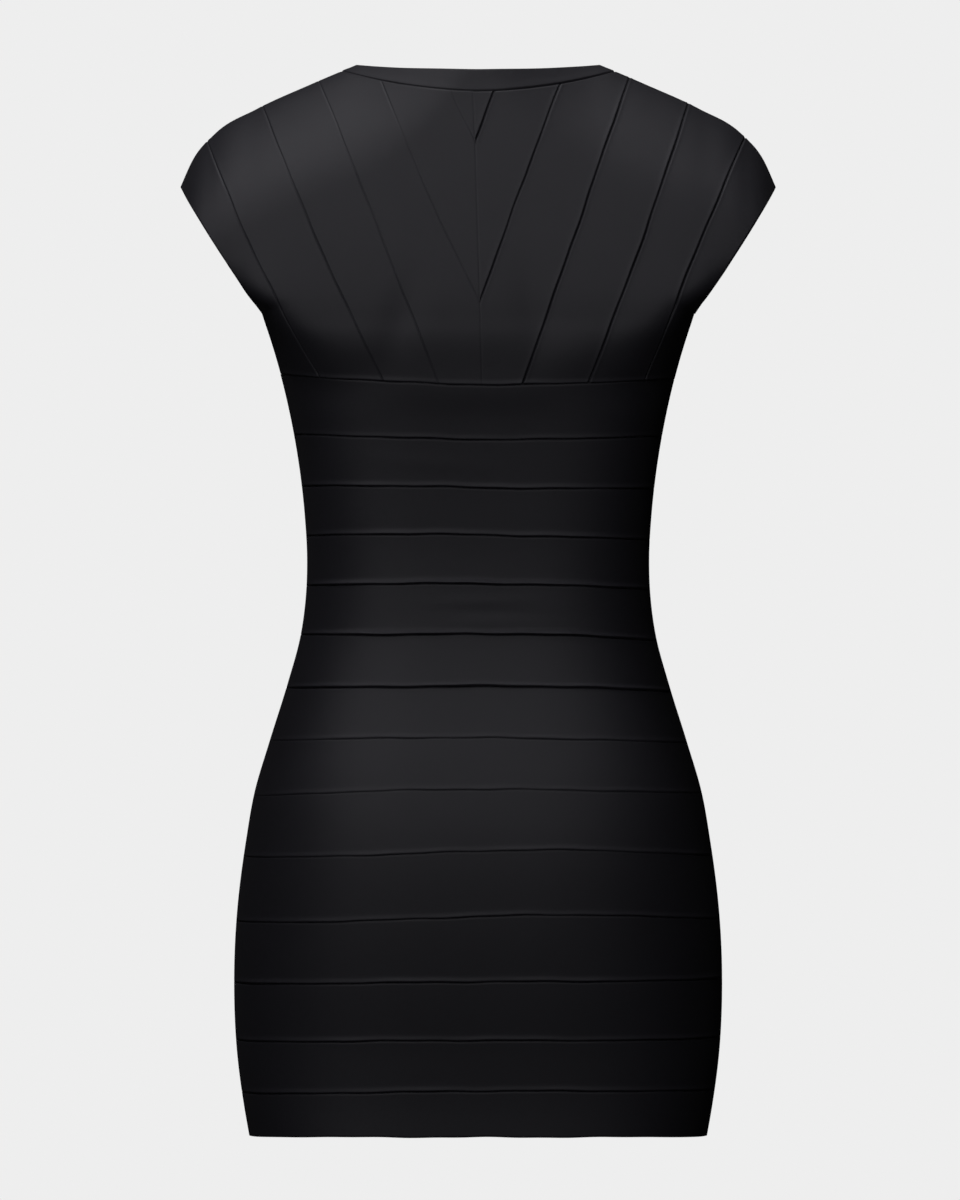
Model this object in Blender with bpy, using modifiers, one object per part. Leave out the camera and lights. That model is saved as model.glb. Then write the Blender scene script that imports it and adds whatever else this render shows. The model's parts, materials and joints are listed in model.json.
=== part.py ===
"""A short bodycon dress made of knitted bands, in the hollow form that it has when it is worn.

The dress hangs from the wearer's shoulders, and the origin lies midway between the two high shoulder
points. +X is the wearer's right, +Y is the way the wearer faces and +Z is up. Sizes are in millimetres
up to the point where a mesh is made.

Each piece is a strip of knit with two long edges. A long edge is a line drawn on the dress, as pairs of
(across, height), and the form of the dress gives each point its depth, behind or in front of the plane
of the side seams.
"""

import math
from typing import Callable, NamedTuple

import bmesh
import bpy
import numpy as np

MM = 0.001

# The knit
WALL = 2.0  # thickness of the knit away from a seam
SEAM_SHARE = 0.6  # share of the wall that is left where a seam pulls the knit in
PINCH = 3.0  # width of the strip along a seam that is pulled in
SEAM_GAP = 0.3  # space between two pieces at a seam
POINT_SETBACK = 1.2  # how far a strip's sharp point stops short of where the seams cross

# The neck
NECK_HALF = 90.0  # half the width of the neck opening at the high shoulder points
BAND_SEAM_HALF = 101.5  # where the neckband's seam crosses the shoulder line

# The sleeve opening runs down from the cap's tip to the underarm.
CAP_TIP = -92.0
UNDERARM = -184.0
CAP_TIP_HALF = 222.0
UNDERARM_HALF = 163.3
SLEEVE_EDGE_BOW = 3.4  # how far the edge of the sleeve swells past the straight line
SLEEVE_SHARE = 0.96  # deepest that the sleeve opening gets, as a share of the full depth
CREST = 0.7  # 0.5 is a round roll over the shoulder line, and 1 is a sharp crest

# How finely the pieces are drawn
SIDE_TO_SIDE = 20  # spans in a band from side seam to side seam
STRIP_MIDDLES = [0.5]  # where a slanting strip has points between its edges
NECK_STEP = 20.0  # longest span of a strip along the neckband's seam
FULL_STRIP_SPANS = 12  # spans along a strip that runs from the shoulder to the foot of the yoke
FINE = 48  # spans that a line is first traced with
SAME_STATION = 1.0  # two points this close along the neckband's seam are one
SAME_POINT = 0.02  # two points this close in a piece are one
SHARP_EDGE = math.radians(50)


class Section(NamedTuple):
    """A level of the dress: its half width, its depth at both centres, and how square it is there.

    A squareness of 2 is an ellipse, and more is flatter with quicker sides.
    """

    height: float
    half_width: float
    back: float
    front: float
    back_square: float
    front_square: float


FORM = [
    Section(0, 222, 46, 50, 6, 3.2),
    Section(-21, 222, 51, 53, 6, 3.2),
    Section(-60, 222, 63, 57, 6, 3.2),
    Section(-90, 222, 72, 63, 6, 3.2),
    Section(-120, 222, 80, 71, 6, 3.2),
    Section(-150, 190, 87, 81, 9, 3.2),
    Section(-184, 163.3, 93, 94, 26, 4),
    Section(-194, 159.9, 94, 98, 19, 3.6),
    Section(-204, 156.6, 95, 101, 13, 3.2),
    Section(-235, 147.6, 92, 108, 5.4, 2.7),
    Section(-267, 140.2, 85.5, 106, 5.0, 2.7),
    Section(-303, 134, 80.5, 98, 5, 2.7),
    Section(-339, 130, 77, 91, 4.7, 2.7),
    Section(-371, 128.3, 75, 87, 4.4, 2.8),
    Section(-402, 129.5, 75.5, 87, 4.2, 2.8),
    Section(-430, 133.5, 78, 89, 4.2, 2.8),
    Section(-465, 143, 87, 92, 4.3, 2.8),
    Section(-510, 157, 102, 95, 4.4, 2.9),
    Section(-546, 167.6, 112.5, 95, 4.2, 2.9),
    Section(-582, 174, 118.5, 94, 4, 3),
    Section(-636, 180.8, 119, 92, 3.7, 3),
    Section(-690, 183, 113.5, 90, 3.6, 3),
    Section(-744, 180.5, 105, 88, 3.6, 3),
    Section(-780, 175.7, 101, 86, 3.9, 3),
    Section(-804, 171.5, 100, 85, 4.2, 3),
]


class Shoulder(NamedTuple):
    """A point of the shoulder line, from the neck to the tip of the cap."""

    across: float
    height: float


SHOULDER_LINE = [
    Shoulder(90, 0),
    Shoulder(125, -15),
    Shoulder(165.5, -33.5),
    Shoulder(196.5, -52),
    Shoulder(212.5, -71),
    Shoulder(CAP_TIP_HALF, CAP_TIP),
]


class Face(NamedTuple):
    """One side of the dress."""

    name: str
    sign: int  # the way the face bulges along Y
    rounding: float  # how far below the shoulder line the cloth reaches its full depth
    armhole: float  # depth of the sleeve opening on this side
    underarm_turn: float  # 2 rounds the sleeve opening off at the underarm, and more is squarer
    neck_dip: float  # height of the neck's edge at the centre
    band_dip: float  # height of the neckband's seam at the centre
    dip_power: float  # 1 is a round scoop, and 2 is a shallow one
    first_point: float  # height where the innermost seams meet at the centre
    second_point: float  # height where the next seams meet at the centre
    centre_spans: tuple[int, int, int]  # spans of the centre seam above, between and below these
    first_spans: int  # spans of the innermost slanting seam


BACK = Face("back", -1, 90, 84, 10, -6.5, -23, 2, -61, -181, (3, 5, 4), 3)
FRONT = Face("front", 1, 80, 54, 2.2, -70, -86, 1, -118, -186, (2, 3, 3), 2)


class Seam(NamedTuple):
    """A level seam: its height at the side seams, its rise at the centres, its tilt, sway and bow."""

    height: float
    rise_back: float
    rise_front: float
    tilt: float
    sway: float  # rise midway to the right side, and the same fall midway to the left
    bow: int  # 2 is an even bow between the sides, and more is straighter with quick ends


# The first is the foot of the yoke, and the last is the hem.
LEVEL_SEAMS = [
    Seam(-234.0, -8.0, -3.0, -1.5, 0.0, 2),
    Seam(-278.3, -4.4, -1.4, -0.6, -0.3, 2),
    Seam(-317.2, -1.2, -1.2, -0.8, -0.6, 2),
    Seam(-355.2, 1.7, 0.7, -1.4, -0.4, 2),
    Seam(-392.6, 2.7, 1.7, -1.3, 0.0, 2),
    Seam(-430.4, 2.9, 2.4, -2.3, 0.9, 2),
    Seam(-469.5, 3.1, 2.1, -1.4, 0.6, 2),
    Seam(-508.2, 3.6, 1.8, -0.8, 0.0, 2),
    Seam(-547.6, 5.2, 1.5, 1.1, -0.2, 2),
    Seam(-593.4, 5.7, 1.5, 0.5, 1.6, 2),
    Seam(-641.0, 5.3, 1.5, 1.1, 1.6, 2),
    Seam(-685.9, 2.1, 1.2, 1.8, -0.2, 2),
    Seam(-729.3, 1.9, 1.2, 1.4, -0.4, 2),
    Seam(-768.4, 3.2, 1.8, 1.3, 0.0, 2),
    Seam(-803.0, 3.2, 2.5, 0.0, 0.0, 6),
]


class YokeSeam(NamedTuple):
    """A slanting seam of the yoke: where its top lies, where its foot lies, and its bow."""

    top: float
    foot: float
    bow: float  # outwards from the centre


# The first two of each side end at the centre seam, the others at the foot of the yoke.
BACK_LEFT_SEAMS = [
    YokeSeam(-21, -3.5, 0),
    YokeSeam(-72, 1, 3),
    YokeSeam(-119, -29, 0),
    YokeSeam(-161, -70, -4),
    YokeSeam(-202, -117, -6),
]
BACK_RIGHT_SEAMS = [
    YokeSeam(12, -3.5, 0),
    YokeSeam(61, 1, 0),
    YokeSeam(113, 33, -1),
    YokeSeam(157, 81.5, -3),
    YokeSeam(199, 123, 0),
]
FRONT_RIGHT_SEAMS = [
    YokeSeam(17, 0, 0),
    YokeSeam(64, 0, 0),
    YokeSeam(116, 31, 0),
    YokeSeam(159, 77, -3),
    YokeSeam(200, 120, -2),
]

# Centre seam of the back yoke, which leans a little.
CENTRE_TOP = -4.0
CENTRE_FOOT = 3.0

KNIT_BLACK = (0.018, 0.018, 0.021, 1.0)
NECKBAND_BLACK = (0.022, 0.022, 0.025, 1.0)

Point = tuple[float, float]
Line = list[Point]


def curve_through(pairs: list[tuple[float, float]]) -> Callable[[float], float]:
    """A smooth curve through the pairs, level past its ends."""
    pairs = sorted(pairs)
    at = np.array([pair[0] for pair in pairs], float)
    value = np.array([pair[1] for pair in pairs], float)
    slope = np.gradient(value, at)

    def curve(where: float) -> float:
        i = int(np.clip(np.searchsorted(at, where) - 1, 0, len(at) - 2))
        span = at[i + 1] - at[i]
        t = min(max((where - at[i]) / span, 0), 1)
        bend = (
            (1 + 2 * t) * (1 - t) ** 2 * value[i]
            + t * (1 - t) ** 2 * span * slope[i]
            + t**2 * (3 - 2 * t) * value[i + 1]
            + t**2 * (t - 1) * span * slope[i + 1]
        )
        return float(bend)

    return curve


half_width = curve_through([(s.height, s.half_width) for s in FORM])
full_depth = {
    BACK.name: curve_through([(s.height, s.back) for s in FORM]),
    FRONT.name: curve_through([(s.height, s.front) for s in FORM]),
}
squareness = {
    BACK.name: curve_through([(s.height, s.back_square) for s in FORM]),
    FRONT.name: curve_through([(s.height, s.front_square) for s in FORM]),
}
shoulder_height = curve_through([(p.across, p.height) for p in SHOULDER_LINE])
BAND_SEAM_HEIGHT = shoulder_height(BAND_SEAM_HALF)


def sleeve_edge(height: float) -> float:
    """Half the distance between the two sleeve openings at this height."""
    share = (height - UNDERARM) / (CAP_TIP - UNDERARM)
    straight = UNDERARM_HALF + (CAP_TIP_HALF - UNDERARM_HALF) * share
    return straight + SLEEVE_EDGE_BOW * 4 * share * (1 - share)


def ridge(face: Face, across: float) -> float:
    """Height of the shoulder line, carried on smoothly over the neck."""
    across = abs(across)
    if across >= NECK_HALF:
        return shoulder_height(across)
    neck, next_point = SHOULDER_LINE[:2]
    slope = (neck.height - next_point.height) / (next_point.across - neck.across)
    inwards = 1 - across / NECK_HALF
    straight = slope * NECK_HALF
    return straight * inwards + (face.rounding - straight) * inwards**2


def spread(face: Face, height: float) -> float:
    """Half the width of the dress at this height, before the sleeve openings are cut out of it."""
    if height <= UNDERARM:
        return half_width(height)
    height = min(height, CAP_TIP)
    middle = (CAP_TIP + UNDERARM) / 2
    below = max(middle - height, 0) / (middle - UNDERARM)
    full = full_depth[face.name](height)
    gape = min(face.armhole, SLEEVE_SHARE * full) * math.sqrt(max(1 - below**face.underarm_turn, 0))
    return sleeve_edge(height) / (1 - (gape / full) ** 2) ** (1 / squareness[face.name](height))


def turned(face: Face, across: float, height: float) -> float:
    """How far the cloth has turned from the centre, where it is 0, to the side seam, where it is 1."""
    outwards = abs(across) / spread(face, height)
    return min(outwards ** squareness[face.name](height), 1)


def depth(face: Face, across: float, height: float) -> float:
    """How far the cloth lies from the plane of the side seams."""
    sideways = math.sqrt(1 - turned(face, across, height))
    below = min(max((ridge(face, across) - height) / face.rounding, 0), 1)
    return full_depth[face.name](height) * sideways * (1 - (1 - below) ** 2) ** CREST


def on_dress(face: Face, point: Point) -> np.ndarray:
    """The point in space, on the inside of the knit."""
    across, height = point
    reach = depth(face, across, height)
    full = full_depth[face.name](height)
    # The form's sizes are those of the outside, so each one is taken in by the wall.
    level_width = sleeve_edge(height) if UNDERARM < height < CAP_TIP else half_width(height)
    shrink_across = 1 - WALL * turned(face, across, height) / max(level_width, NECK_HALF)
    shrink_back = 1 - WALL / full
    lower = WALL * (1 - min(reach / full, 1)) if height > UNDERARM else 0
    return np.array([across * shrink_across, face.sign * reach * shrink_back, height - lower])


def evenly(face: Face, line: Line, shares: list[float]) -> Line:
    """The points of a line at these shares of its length on the dress."""
    space = np.array([on_dress(face, point) for point in line])
    steps = np.linalg.norm(np.diff(space, axis=0), axis=1)
    length = np.concatenate([[0], np.cumsum(steps)])
    flat = np.array(line)
    wanted = np.array(shares) * length[-1]
    return [
        (float(np.interp(w, length, flat[:, 0])), float(np.interp(w, length, flat[:, 1])))
        for w in wanted
    ]


def length_of(face: Face, line: Line) -> float:
    """Length of a line on the dress."""
    space = np.array([on_dress(face, point) for point in line])
    return float(np.linalg.norm(np.diff(space, axis=0), axis=1).sum())


def spans(face: Face, line: Line, count: int, pinched: tuple[bool, bool]) -> Line:
    """The line in this many spans, with a short one where its start or its end meets a seam."""
    start, end = (PINCH / length_of(face, line) * meets for meets in pinched)
    inner = count - sum(pinched)
    shares = [start + (1 - start - end) * i / inner for i in range(inner + 1)]
    return evenly(face, line, [0.0] * pinched[0] + shares + [1.0] * pinched[1])


def trace(draw: Callable[[float], Point]) -> Line:
    """A line drawn by a function of a share from 0 to 1."""
    return [draw(i / FINE) for i in range(FINE + 1)]


def neck_line(face: Face, half: float, side: float, dip: float, start: float, end: float) -> Line:
    """A line round the neck, between two distances from the centre."""
    first, last = (math.asin(min(max(across / half, -1), 1)) for across in (start, end))

    def draw(share: float) -> Point:
        turn = first + (last - first) * share
        return half * math.sin(turn), side + (dip - side) * math.cos(turn) ** face.dip_power

    return trace(draw)


def neck_edge(face: Face) -> Line:
    """The dress's top edge, from left to right."""
    return neck_line(face, NECK_HALF, 0, face.neck_dip, -NECK_HALF, NECK_HALF)


def neck_seam(face: Face, start: float, end: float) -> Line:
    """The neckband's lower seam, between two distances from the centre."""
    return neck_line(face, BAND_SEAM_HALF, BAND_SEAM_HEIGHT, face.band_dip, start, end)


def shoulder_seam(start: float, end: float) -> Line:
    """The shoulder line between two distances from the centre, on either side."""

    def draw(share: float) -> Point:
        across = start + (end - start) * share
        return across, shoulder_height(abs(across))

    return trace(draw)


def seam_height(face: Face, seam: Seam, across: float) -> float:
    """Height of a level seam at this distance from the centre."""
    share = across / half_width(seam.height)
    rise = seam.rise_back if face is BACK else seam.rise_front
    sway = seam.sway * math.sin(math.pi * share)
    return seam.height + rise * (1 - abs(share) ** seam.bow) + seam.tilt * share + sway


def level_line(face: Face, seam: Seam, start: float, end: float) -> Line:
    """A level seam between two distances from the centre, with its points closer at the sides."""
    half = half_width(seam.height)
    first, last = (math.asin(min(max(across / half, -1), 1)) for across in (start, end))

    def draw(share: float) -> Point:
        across = half * math.sin(first + (last - first) * share)
        return across, seam_height(face, seam, across)

    return trace(draw)


def side_line(side: int, top: float, foot: float) -> Line:
    """The side seam between two heights."""

    def draw(share: float) -> Point:
        height = top + (foot - top) * share
        return side * half_width(height), height

    return trace(draw)


def sleeve_line(side: int) -> Line:
    """The edge of the sleeve opening, from the cap's tip to the underarm."""

    def draw(share: float) -> Point:
        height = (CAP_TIP + UNDERARM) / 2 + (CAP_TIP - UNDERARM) / 2 * math.cos(math.pi * share)
        return side * sleeve_edge(height), height

    return trace(draw)


def slanting_line(top: Point, foot: Point, bow: float) -> Line:
    """A slanting seam of the yoke, with its points closer at the shoulder."""

    def draw(share: float) -> Point:
        along = share**2
        swell = math.copysign(bow, top[0]) * 4 * along * (1 - along)
        return top[0] + (foot[0] - top[0]) * along + swell, top[1] + (foot[1] - top[1]) * along

    return trace(draw)


def shares_along(face: Face, line: Line) -> np.ndarray:
    """How far along the dress each point of a line lies, as a share of its length."""
    space = np.array([on_dress(face, point) for point in line])
    length = np.concatenate([[0], np.cumsum(np.linalg.norm(np.diff(space, axis=0), axis=1))])
    return length / length[-1]


def blended_row(row: int, down: float, near: Line, far: Line, top: Line, foot: Line) -> Line:
    """A row of a four-sided piece, this share of the way down, which follows all four of its edges."""
    points = []
    for i, (above, below) in enumerate(zip(top, foot)):
        right = i / (len(top) - 1)
        point = []
        for axis in (0, 1):
            sides = (1 - right) * near[row][axis] + right * far[row][axis]
            ends = (1 - down) * above[axis] + down * below[axis]
            corners = (1 - down) * ((1 - right) * near[0][axis] + right * far[0][axis])
            corners += down * ((1 - right) * near[-1][axis] + right * far[-1][axis])
            point.append(sides + ends - corners)
        points.append((point[0], point[1]))
    return points


def across_shares(length: float, middles: list[float]) -> list[float]:
    """Where the points of a row lie: at its edges, just inside them, and at the middles."""
    pinch = min(PINCH / max(length, SAME_POINT), 0.25)
    return [0, pinch, *middles, 1 - pinch, 1]


class Piece(NamedTuple):
    """A strip of knit: its two long edges, its two ends, and which of its edges are sewn."""

    name: str
    face: Face
    near: Line
    far: Line
    top: Line
    foot: Line
    middles: list[float]
    sewn_near: bool = True
    sewn_far: bool = True
    sewn_foot: bool = True


def grid_of(piece: Piece) -> list[list[np.ndarray]]:
    """The piece's points in space, row by row, set back from its seams by half the gap."""
    top = evenly(piece.face, piece.top, [i / FINE for i in range(FINE + 1)])
    foot = evenly(piece.face, piece.foot, [i / FINE for i in range(FINE + 1)])
    pointed = math.dist(piece.near[-1], piece.far[-1]) < SAME_POINT
    downs = (shares_along(piece.face, piece.near) + shares_along(piece.face, piece.far)) / 2
    rows = []
    for row, down in enumerate(downs):
        line = blended_row(row, down, piece.near, piece.far, top, foot)
        shares = across_shares(length_of(piece.face, line), piece.middles)
        rows.append([on_dress(piece.face, point) for point in evenly(piece.face, line, shares)])
    half_gap = SEAM_GAP / 2

    def towards(point: np.ndarray, goal: np.ndarray, distance: float) -> np.ndarray:
        return point + (goal - point) / np.linalg.norm(goal - point) * distance

    for row in rows[:-1] if pointed else rows:
        row[0] = towards(row[0], row[1], half_gap)
        row[-1] = towards(row[-1], row[-2], half_gap)
    rows[0] = [towards(a, b, half_gap) for a, b in zip(rows[0], rows[1])]
    if pointed:
        point = towards(rows[-1][0], sum(rows[-2]) / len(rows[-2]), POINT_SETBACK)
        rows[-1] = [point] * len(rows[-1])
    else:
        rows[-1] = [towards(a, b, half_gap) for a, b in zip(rows[-1], rows[-2])]
    return rows


def knit_material(name: str, colour: tuple[float, float, float, float]) -> bpy.types.Material:
    """A matt knit."""
    material = bpy.data.materials.new(name)
    material.use_nodes = True
    shader = material.node_tree.nodes["Principled BSDF"]
    shader.inputs["Base Color"].default_value = colour
    shader.inputs["Roughness"].default_value = 0.75
    shader.inputs["Metallic"].default_value = 0.0
    return material


def make_piece(piece: Piece, material: bpy.types.Material, collection: bpy.types.Collection) -> None:
    """The piece as an open surface on the inside of the knit, with its wall added outwards."""
    rows = grid_of(piece)
    mesh = bpy.data.meshes.new(piece.name)
    shape = bmesh.new()
    pull = shape.verts.layers.deform.verify()
    columns = len(rows[0])
    verts = []
    for i, row in enumerate(rows):
        for j, point in enumerate(row):
            vert = shape.verts.new([value * MM for value in point])
            sewn = (
                i == 0
                or (i == len(rows) - 1 and piece.sewn_foot)
                or (j == 0 and piece.sewn_near)
                or (j == columns - 1 and piece.sewn_far)
            )
            vert[pull][0] = SEAM_SHARE if sewn else 1.0
            verts.append(vert)
    for i in range(len(rows) - 1):
        for j in range(columns - 1):
            first = i * columns + j
            shape.faces.new([verts[k] for k in (first, first + 1, first + columns + 1, first + columns)])
    bmesh.ops.remove_doubles(shape, verts=shape.verts, dist=SAME_POINT * MM)
    bmesh.ops.recalc_face_normals(shape, faces=shape.faces)
    outwards = sum(face.normal.y * face.calc_area() for face in shape.faces) * piece.face.sign
    if outwards < 0:
        bmesh.ops.reverse_faces(shape, faces=shape.faces)
    shape.to_mesh(mesh)
    shape.free()
    mesh.materials.append(material)
    mesh.shade_smooth()
    mesh.set_sharp_from_angle(angle=SHARP_EDGE)
    obj = bpy.data.objects.new(piece.name, mesh)
    collection.objects.link(obj)
    group = obj.vertex_groups.new(name="fullness")
    wall = obj.modifiers.new("knit wall", "SOLIDIFY")
    wall.thickness = WALL * MM
    wall.offset = 1.0
    wall.vertex_group = group.name
    wall.thickness_vertex_group = 0.0


def bands(face: Face) -> list[Piece]:
    """The level bands of one side, from the foot of the yoke down to the hem."""
    made = []
    for number, (upper, lower) in enumerate(zip(LEVEL_SEAMS, LEVEL_SEAMS[1:]), 1):
        edges = []
        ends = []
        for seam in (upper, lower):
            half = half_width(seam.height)
            line = level_line(face, seam, -half, half)
            edges.append(spans(face, line, SIDE_TO_SIDE, (False, False)))
            ends.append((line[0], line[-1]))
        left, right = (
            side_line(side, ends[0][end][1], ends[1][end][1]) for side, end in ((-1, 0), (1, 1))
        )
        hem = lower is LEVEL_SEAMS[-1]
        name = f"{face.name}_band_{number:02d}"
        made.append(Piece(name, face, edges[0], edges[1], left, right, [], sewn_far=not hem))
    return made


def neckband(face: Face, stations: Line) -> Piece:
    """The neckband of one side, from shoulder to shoulder, with the strips' points along its seam."""
    seam = sorted(stations)
    seam = [a for a, b in zip(seam, seam[1:]) if math.dist(a, b) > SAME_STATION] + seam[-1:]
    edge = evenly(face, neck_edge(face), list(shares_along(face, seam)))
    left, right = (
        shoulder_seam(side * NECK_HALF, side * BAND_SEAM_HALF) for side in (-1, 1)
    )
    return Piece(f"{face.name}_neckband", face, edge, seam, left, right, [], sewn_near=False)


def yoke_half(
    face: Face, side: int, seams: list[YokeSeam], centre: tuple[float, float]
) -> tuple[list[Piece], Line]:
    """The slanting strips between the centre seam and one sleeve, and their points along the neckband."""
    yoke_foot = LEVEL_SEAMS[0]
    points = [face.first_point, face.second_point]
    foot_half = side * half_width(yoke_foot.height)
    corner = side * BAND_SEAM_HALF

    def centre_at(height: float) -> float:
        return centre[0] + (centre[1] - centre[0]) * height / yoke_foot.height

    def on_neck_seam(across: float) -> Point:
        return neck_seam(face, across, across)[0]

    lines = []
    for number, seam in enumerate(seams):
        on_neck = abs(seam.top) < BAND_SEAM_HALF
        top = on_neck_seam(seam.top) if on_neck else (seam.top, shoulder_height(abs(seam.top)))
        if number < len(points):
            foot = (centre_at(points[number]), points[number])
        else:
            foot = (seam.foot, seam_height(face, yoke_foot, seam.foot))
        lines.append(slanting_line(top, foot, seam.bow))

    foot_across = centre_at(yoke_foot.height)
    stops = [on_neck_seam(centre[0])[1], *points, seam_height(face, yoke_foot, foot_across)]
    middle = []
    for number, (upper, lower) in enumerate(zip(stops, stops[1:])):
        heights = [upper + (lower - upper) * i / FINE for i in range(FINE + 1)]
        straight = [(centre_at(height), height) for height in heights]
        pinched = (number == 0, number == len(stops) - 2)
        middle.append(spans(face, straight, face.centre_spans[number], pinched))

    first = spans(face, lines[0], face.first_spans, (True, False))
    inner = first + middle[1][1:]
    second = spans(face, lines[1], len(inner) - 1, (True, False))
    full = [spans(face, line, FULL_STRIP_SPANS, (True, True)) for line in lines[2:]]
    under_spans = FULL_STRIP_SPANS // 4
    outer = spans(face, sleeve_line(side), FULL_STRIP_SPANS - under_spans, (True, False))
    under = side_line(side, UNDERARM, seam_height(face, yoke_foot, foot_half))
    outer += spans(face, under, under_spans, (False, True))[1:]

    # Beside the neckband the third strip has a corner, where the seam meets the shoulder line. A shallow
    # neck makes the seam part of the strip's top, and a deep one makes it part of the strip's long edge.
    third = second + middle[2][1:]
    beside_neck = neck_seam(face, seams[1].top, corner)
    spare = FULL_STRIP_SPANS - (len(third) - 1)
    third_middles = STRIP_MIDDLES
    third_top = shoulder_seam(corner, seams[2].top)
    if spare:
        stations = spans(face, beside_neck[::-1], spare, (True, False))
        third = stations + third[1:]
    else:
        third_top = beside_neck + third_top[1:]
        bend = length_of(face, beside_neck) / length_of(face, third_top)
        steps = math.ceil(length_of(face, beside_neck) / NECK_STEP)
        third_middles = [bend * (step + 1) / steps for step in range(steps)]
        stations = evenly(face, third_top, [0, *third_middles])

    tops = [
        neck_seam(face, centre[0], seams[0].top),
        neck_seam(face, seams[0].top, seams[1].top),
        third_top,
    ]
    for top in tops[:2]:
        stations += evenly(face, top, [0, 0.5, 1])
    stops_across = [seam.top for seam in seams[2:]] + [side * CAP_TIP_HALF]
    tops += [shoulder_seam(start, end) for start, end in zip(stops_across, stops_across[1:])]
    stops_across = [foot_across] + [seam.foot for seam in seams[2:]] + [foot_half]
    feet = [[inner_foot] * (FINE + 1) for inner_foot in (first[-1], second[-1])]
    feet += [
        level_line(face, yoke_foot, start, end) for start, end in zip(stops_across, stops_across[1:])
    ]
    long_edges = [middle[0], first, inner, second, third, full[0], full[0], full[1], full[1], full[2]]
    long_edges += [full[2], outer]
    made = []
    for number, (top, foot) in enumerate(zip(tops, feet)):
        near, far = long_edges[2 * number : 2 * number + 2]
        name = f"{face.name}_yoke_{'right' if side > 0 else 'left'}_{number + 1}"
        middles = third_middles if top is third_top else STRIP_MIDDLES
        if far is outer:
            middles = beside_band(face, foot)
        made.append(Piece(name, face, near, far, top, foot, middles, sewn_far=far is not outer))
    return made, stations


def beside_band(face: Face, foot: Line) -> list[float]:
    """Where the outermost strip has points between its edges: where the band under it has them too."""
    half = half_width(LEVEL_SEAMS[0].height)
    step = length_of(face, level_line(face, LEVEL_SEAMS[0], -half, half)) / SIDE_TO_SIDE
    length = length_of(face, foot)
    count = math.floor((length - 2 * PINCH) / step)
    return [1 - step * number / length for number in range(count, 0, -1)]


def mirrored(seams: list[YokeSeam]) -> list[YokeSeam]:
    """The same seams on the other side."""
    return [YokeSeam(-seam.top, -seam.foot, seam.bow) for seam in seams]


def main() -> None:
    """Clears the scene and makes each piece of the dress."""
    for obj in list(bpy.data.objects):
        bpy.data.objects.remove(obj, do_unlink=True)
    dress = bpy.data.collections.new("bodycon_dress")
    bpy.context.scene.collection.children.link(dress)
    knit = knit_material("bandage_knit", KNIT_BLACK)
    neck_knit = knit_material("neckband_knit", NECKBAND_BLACK)

    for face, left_seams, right_seams, centre in (
        (BACK, BACK_LEFT_SEAMS, BACK_RIGHT_SEAMS, (CENTRE_TOP, CENTRE_FOOT)),
        (FRONT, mirrored(FRONT_RIGHT_SEAMS), FRONT_RIGHT_SEAMS, (0.0, 0.0)),
    ):
        left, left_stations = yoke_half(face, -1, left_seams, centre)
        right, right_stations = yoke_half(face, 1, right_seams, centre)
        make_piece(neckband(face, left_stations + right_stations), neck_knit, dress)
        for piece in left + right + bands(face):
            make_piece(piece, knit, dress)


main()
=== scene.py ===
"""The looks of a short bodycon dress of black bandage knit, made around its fixed frame.

The dress hangs from the wearer's shoulders, with the origin midway between the two high shoulder
points. +X is the wearer's right, +Y is the way the wearer faces and +Z is up. Sizes of the dress are in
millimetres up to the point where a mesh is made, and the studio's are in metres.

Every strip of knit is a shell of its own. A strip is laid out between its edges on the form of the
dress, and its wall then swells and sinks where seams pull the knit in.
"""

from __future__ import annotations

import json
import logging
import math
import sys
from dataclasses import dataclass, field
from enum import Enum
from typing import Iterator, NamedTuple

import bmesh
import bpy
import numpy as np
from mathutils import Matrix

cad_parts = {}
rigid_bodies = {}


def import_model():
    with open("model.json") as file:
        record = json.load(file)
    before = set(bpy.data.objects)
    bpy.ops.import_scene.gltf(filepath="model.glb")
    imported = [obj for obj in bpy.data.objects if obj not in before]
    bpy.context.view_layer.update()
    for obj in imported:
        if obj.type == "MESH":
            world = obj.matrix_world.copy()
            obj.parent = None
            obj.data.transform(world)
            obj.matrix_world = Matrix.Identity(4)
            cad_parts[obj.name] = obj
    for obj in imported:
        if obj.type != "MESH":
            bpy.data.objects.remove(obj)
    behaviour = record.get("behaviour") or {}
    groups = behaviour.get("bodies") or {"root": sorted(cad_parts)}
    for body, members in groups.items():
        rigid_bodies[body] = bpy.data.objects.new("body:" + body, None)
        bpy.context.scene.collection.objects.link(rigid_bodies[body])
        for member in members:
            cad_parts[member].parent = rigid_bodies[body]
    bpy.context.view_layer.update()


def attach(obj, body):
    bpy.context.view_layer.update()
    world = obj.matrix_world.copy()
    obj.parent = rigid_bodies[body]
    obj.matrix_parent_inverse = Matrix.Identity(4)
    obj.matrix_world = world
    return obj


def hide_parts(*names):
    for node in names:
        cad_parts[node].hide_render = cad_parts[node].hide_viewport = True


LOG = logging.getLogger("bandage_dress")
MM = 0.001
CM2 = 1e-4  # in square metres
LIFTED = "lifted"  # the attribute that says how far a strip's wall is raised, by which the finish paints a highlight on raised edges

Line = np.ndarray  # points along a line drawn on the dress, as rows of (across, height)
Field = np.ndarray  # one number for each point


# ---------------------------------------------------------------------------------------------
# The form of the dress
# ---------------------------------------------------------------------------------------------


class Section(NamedTuple):
    """A level of the dress: its half width, its depth at both centres, and how square it is there.

    A squareness of 2 is an ellipse, and more is flatter with quicker sides.
    """

    height: float
    half_width: float
    back: float
    front: float
    back_square: float
    front_square: float


class ShoulderPoint(NamedTuple):
    """A point of the shoulder line, from the neck to the tip of the cap sleeve."""

    across: float
    height: float


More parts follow.
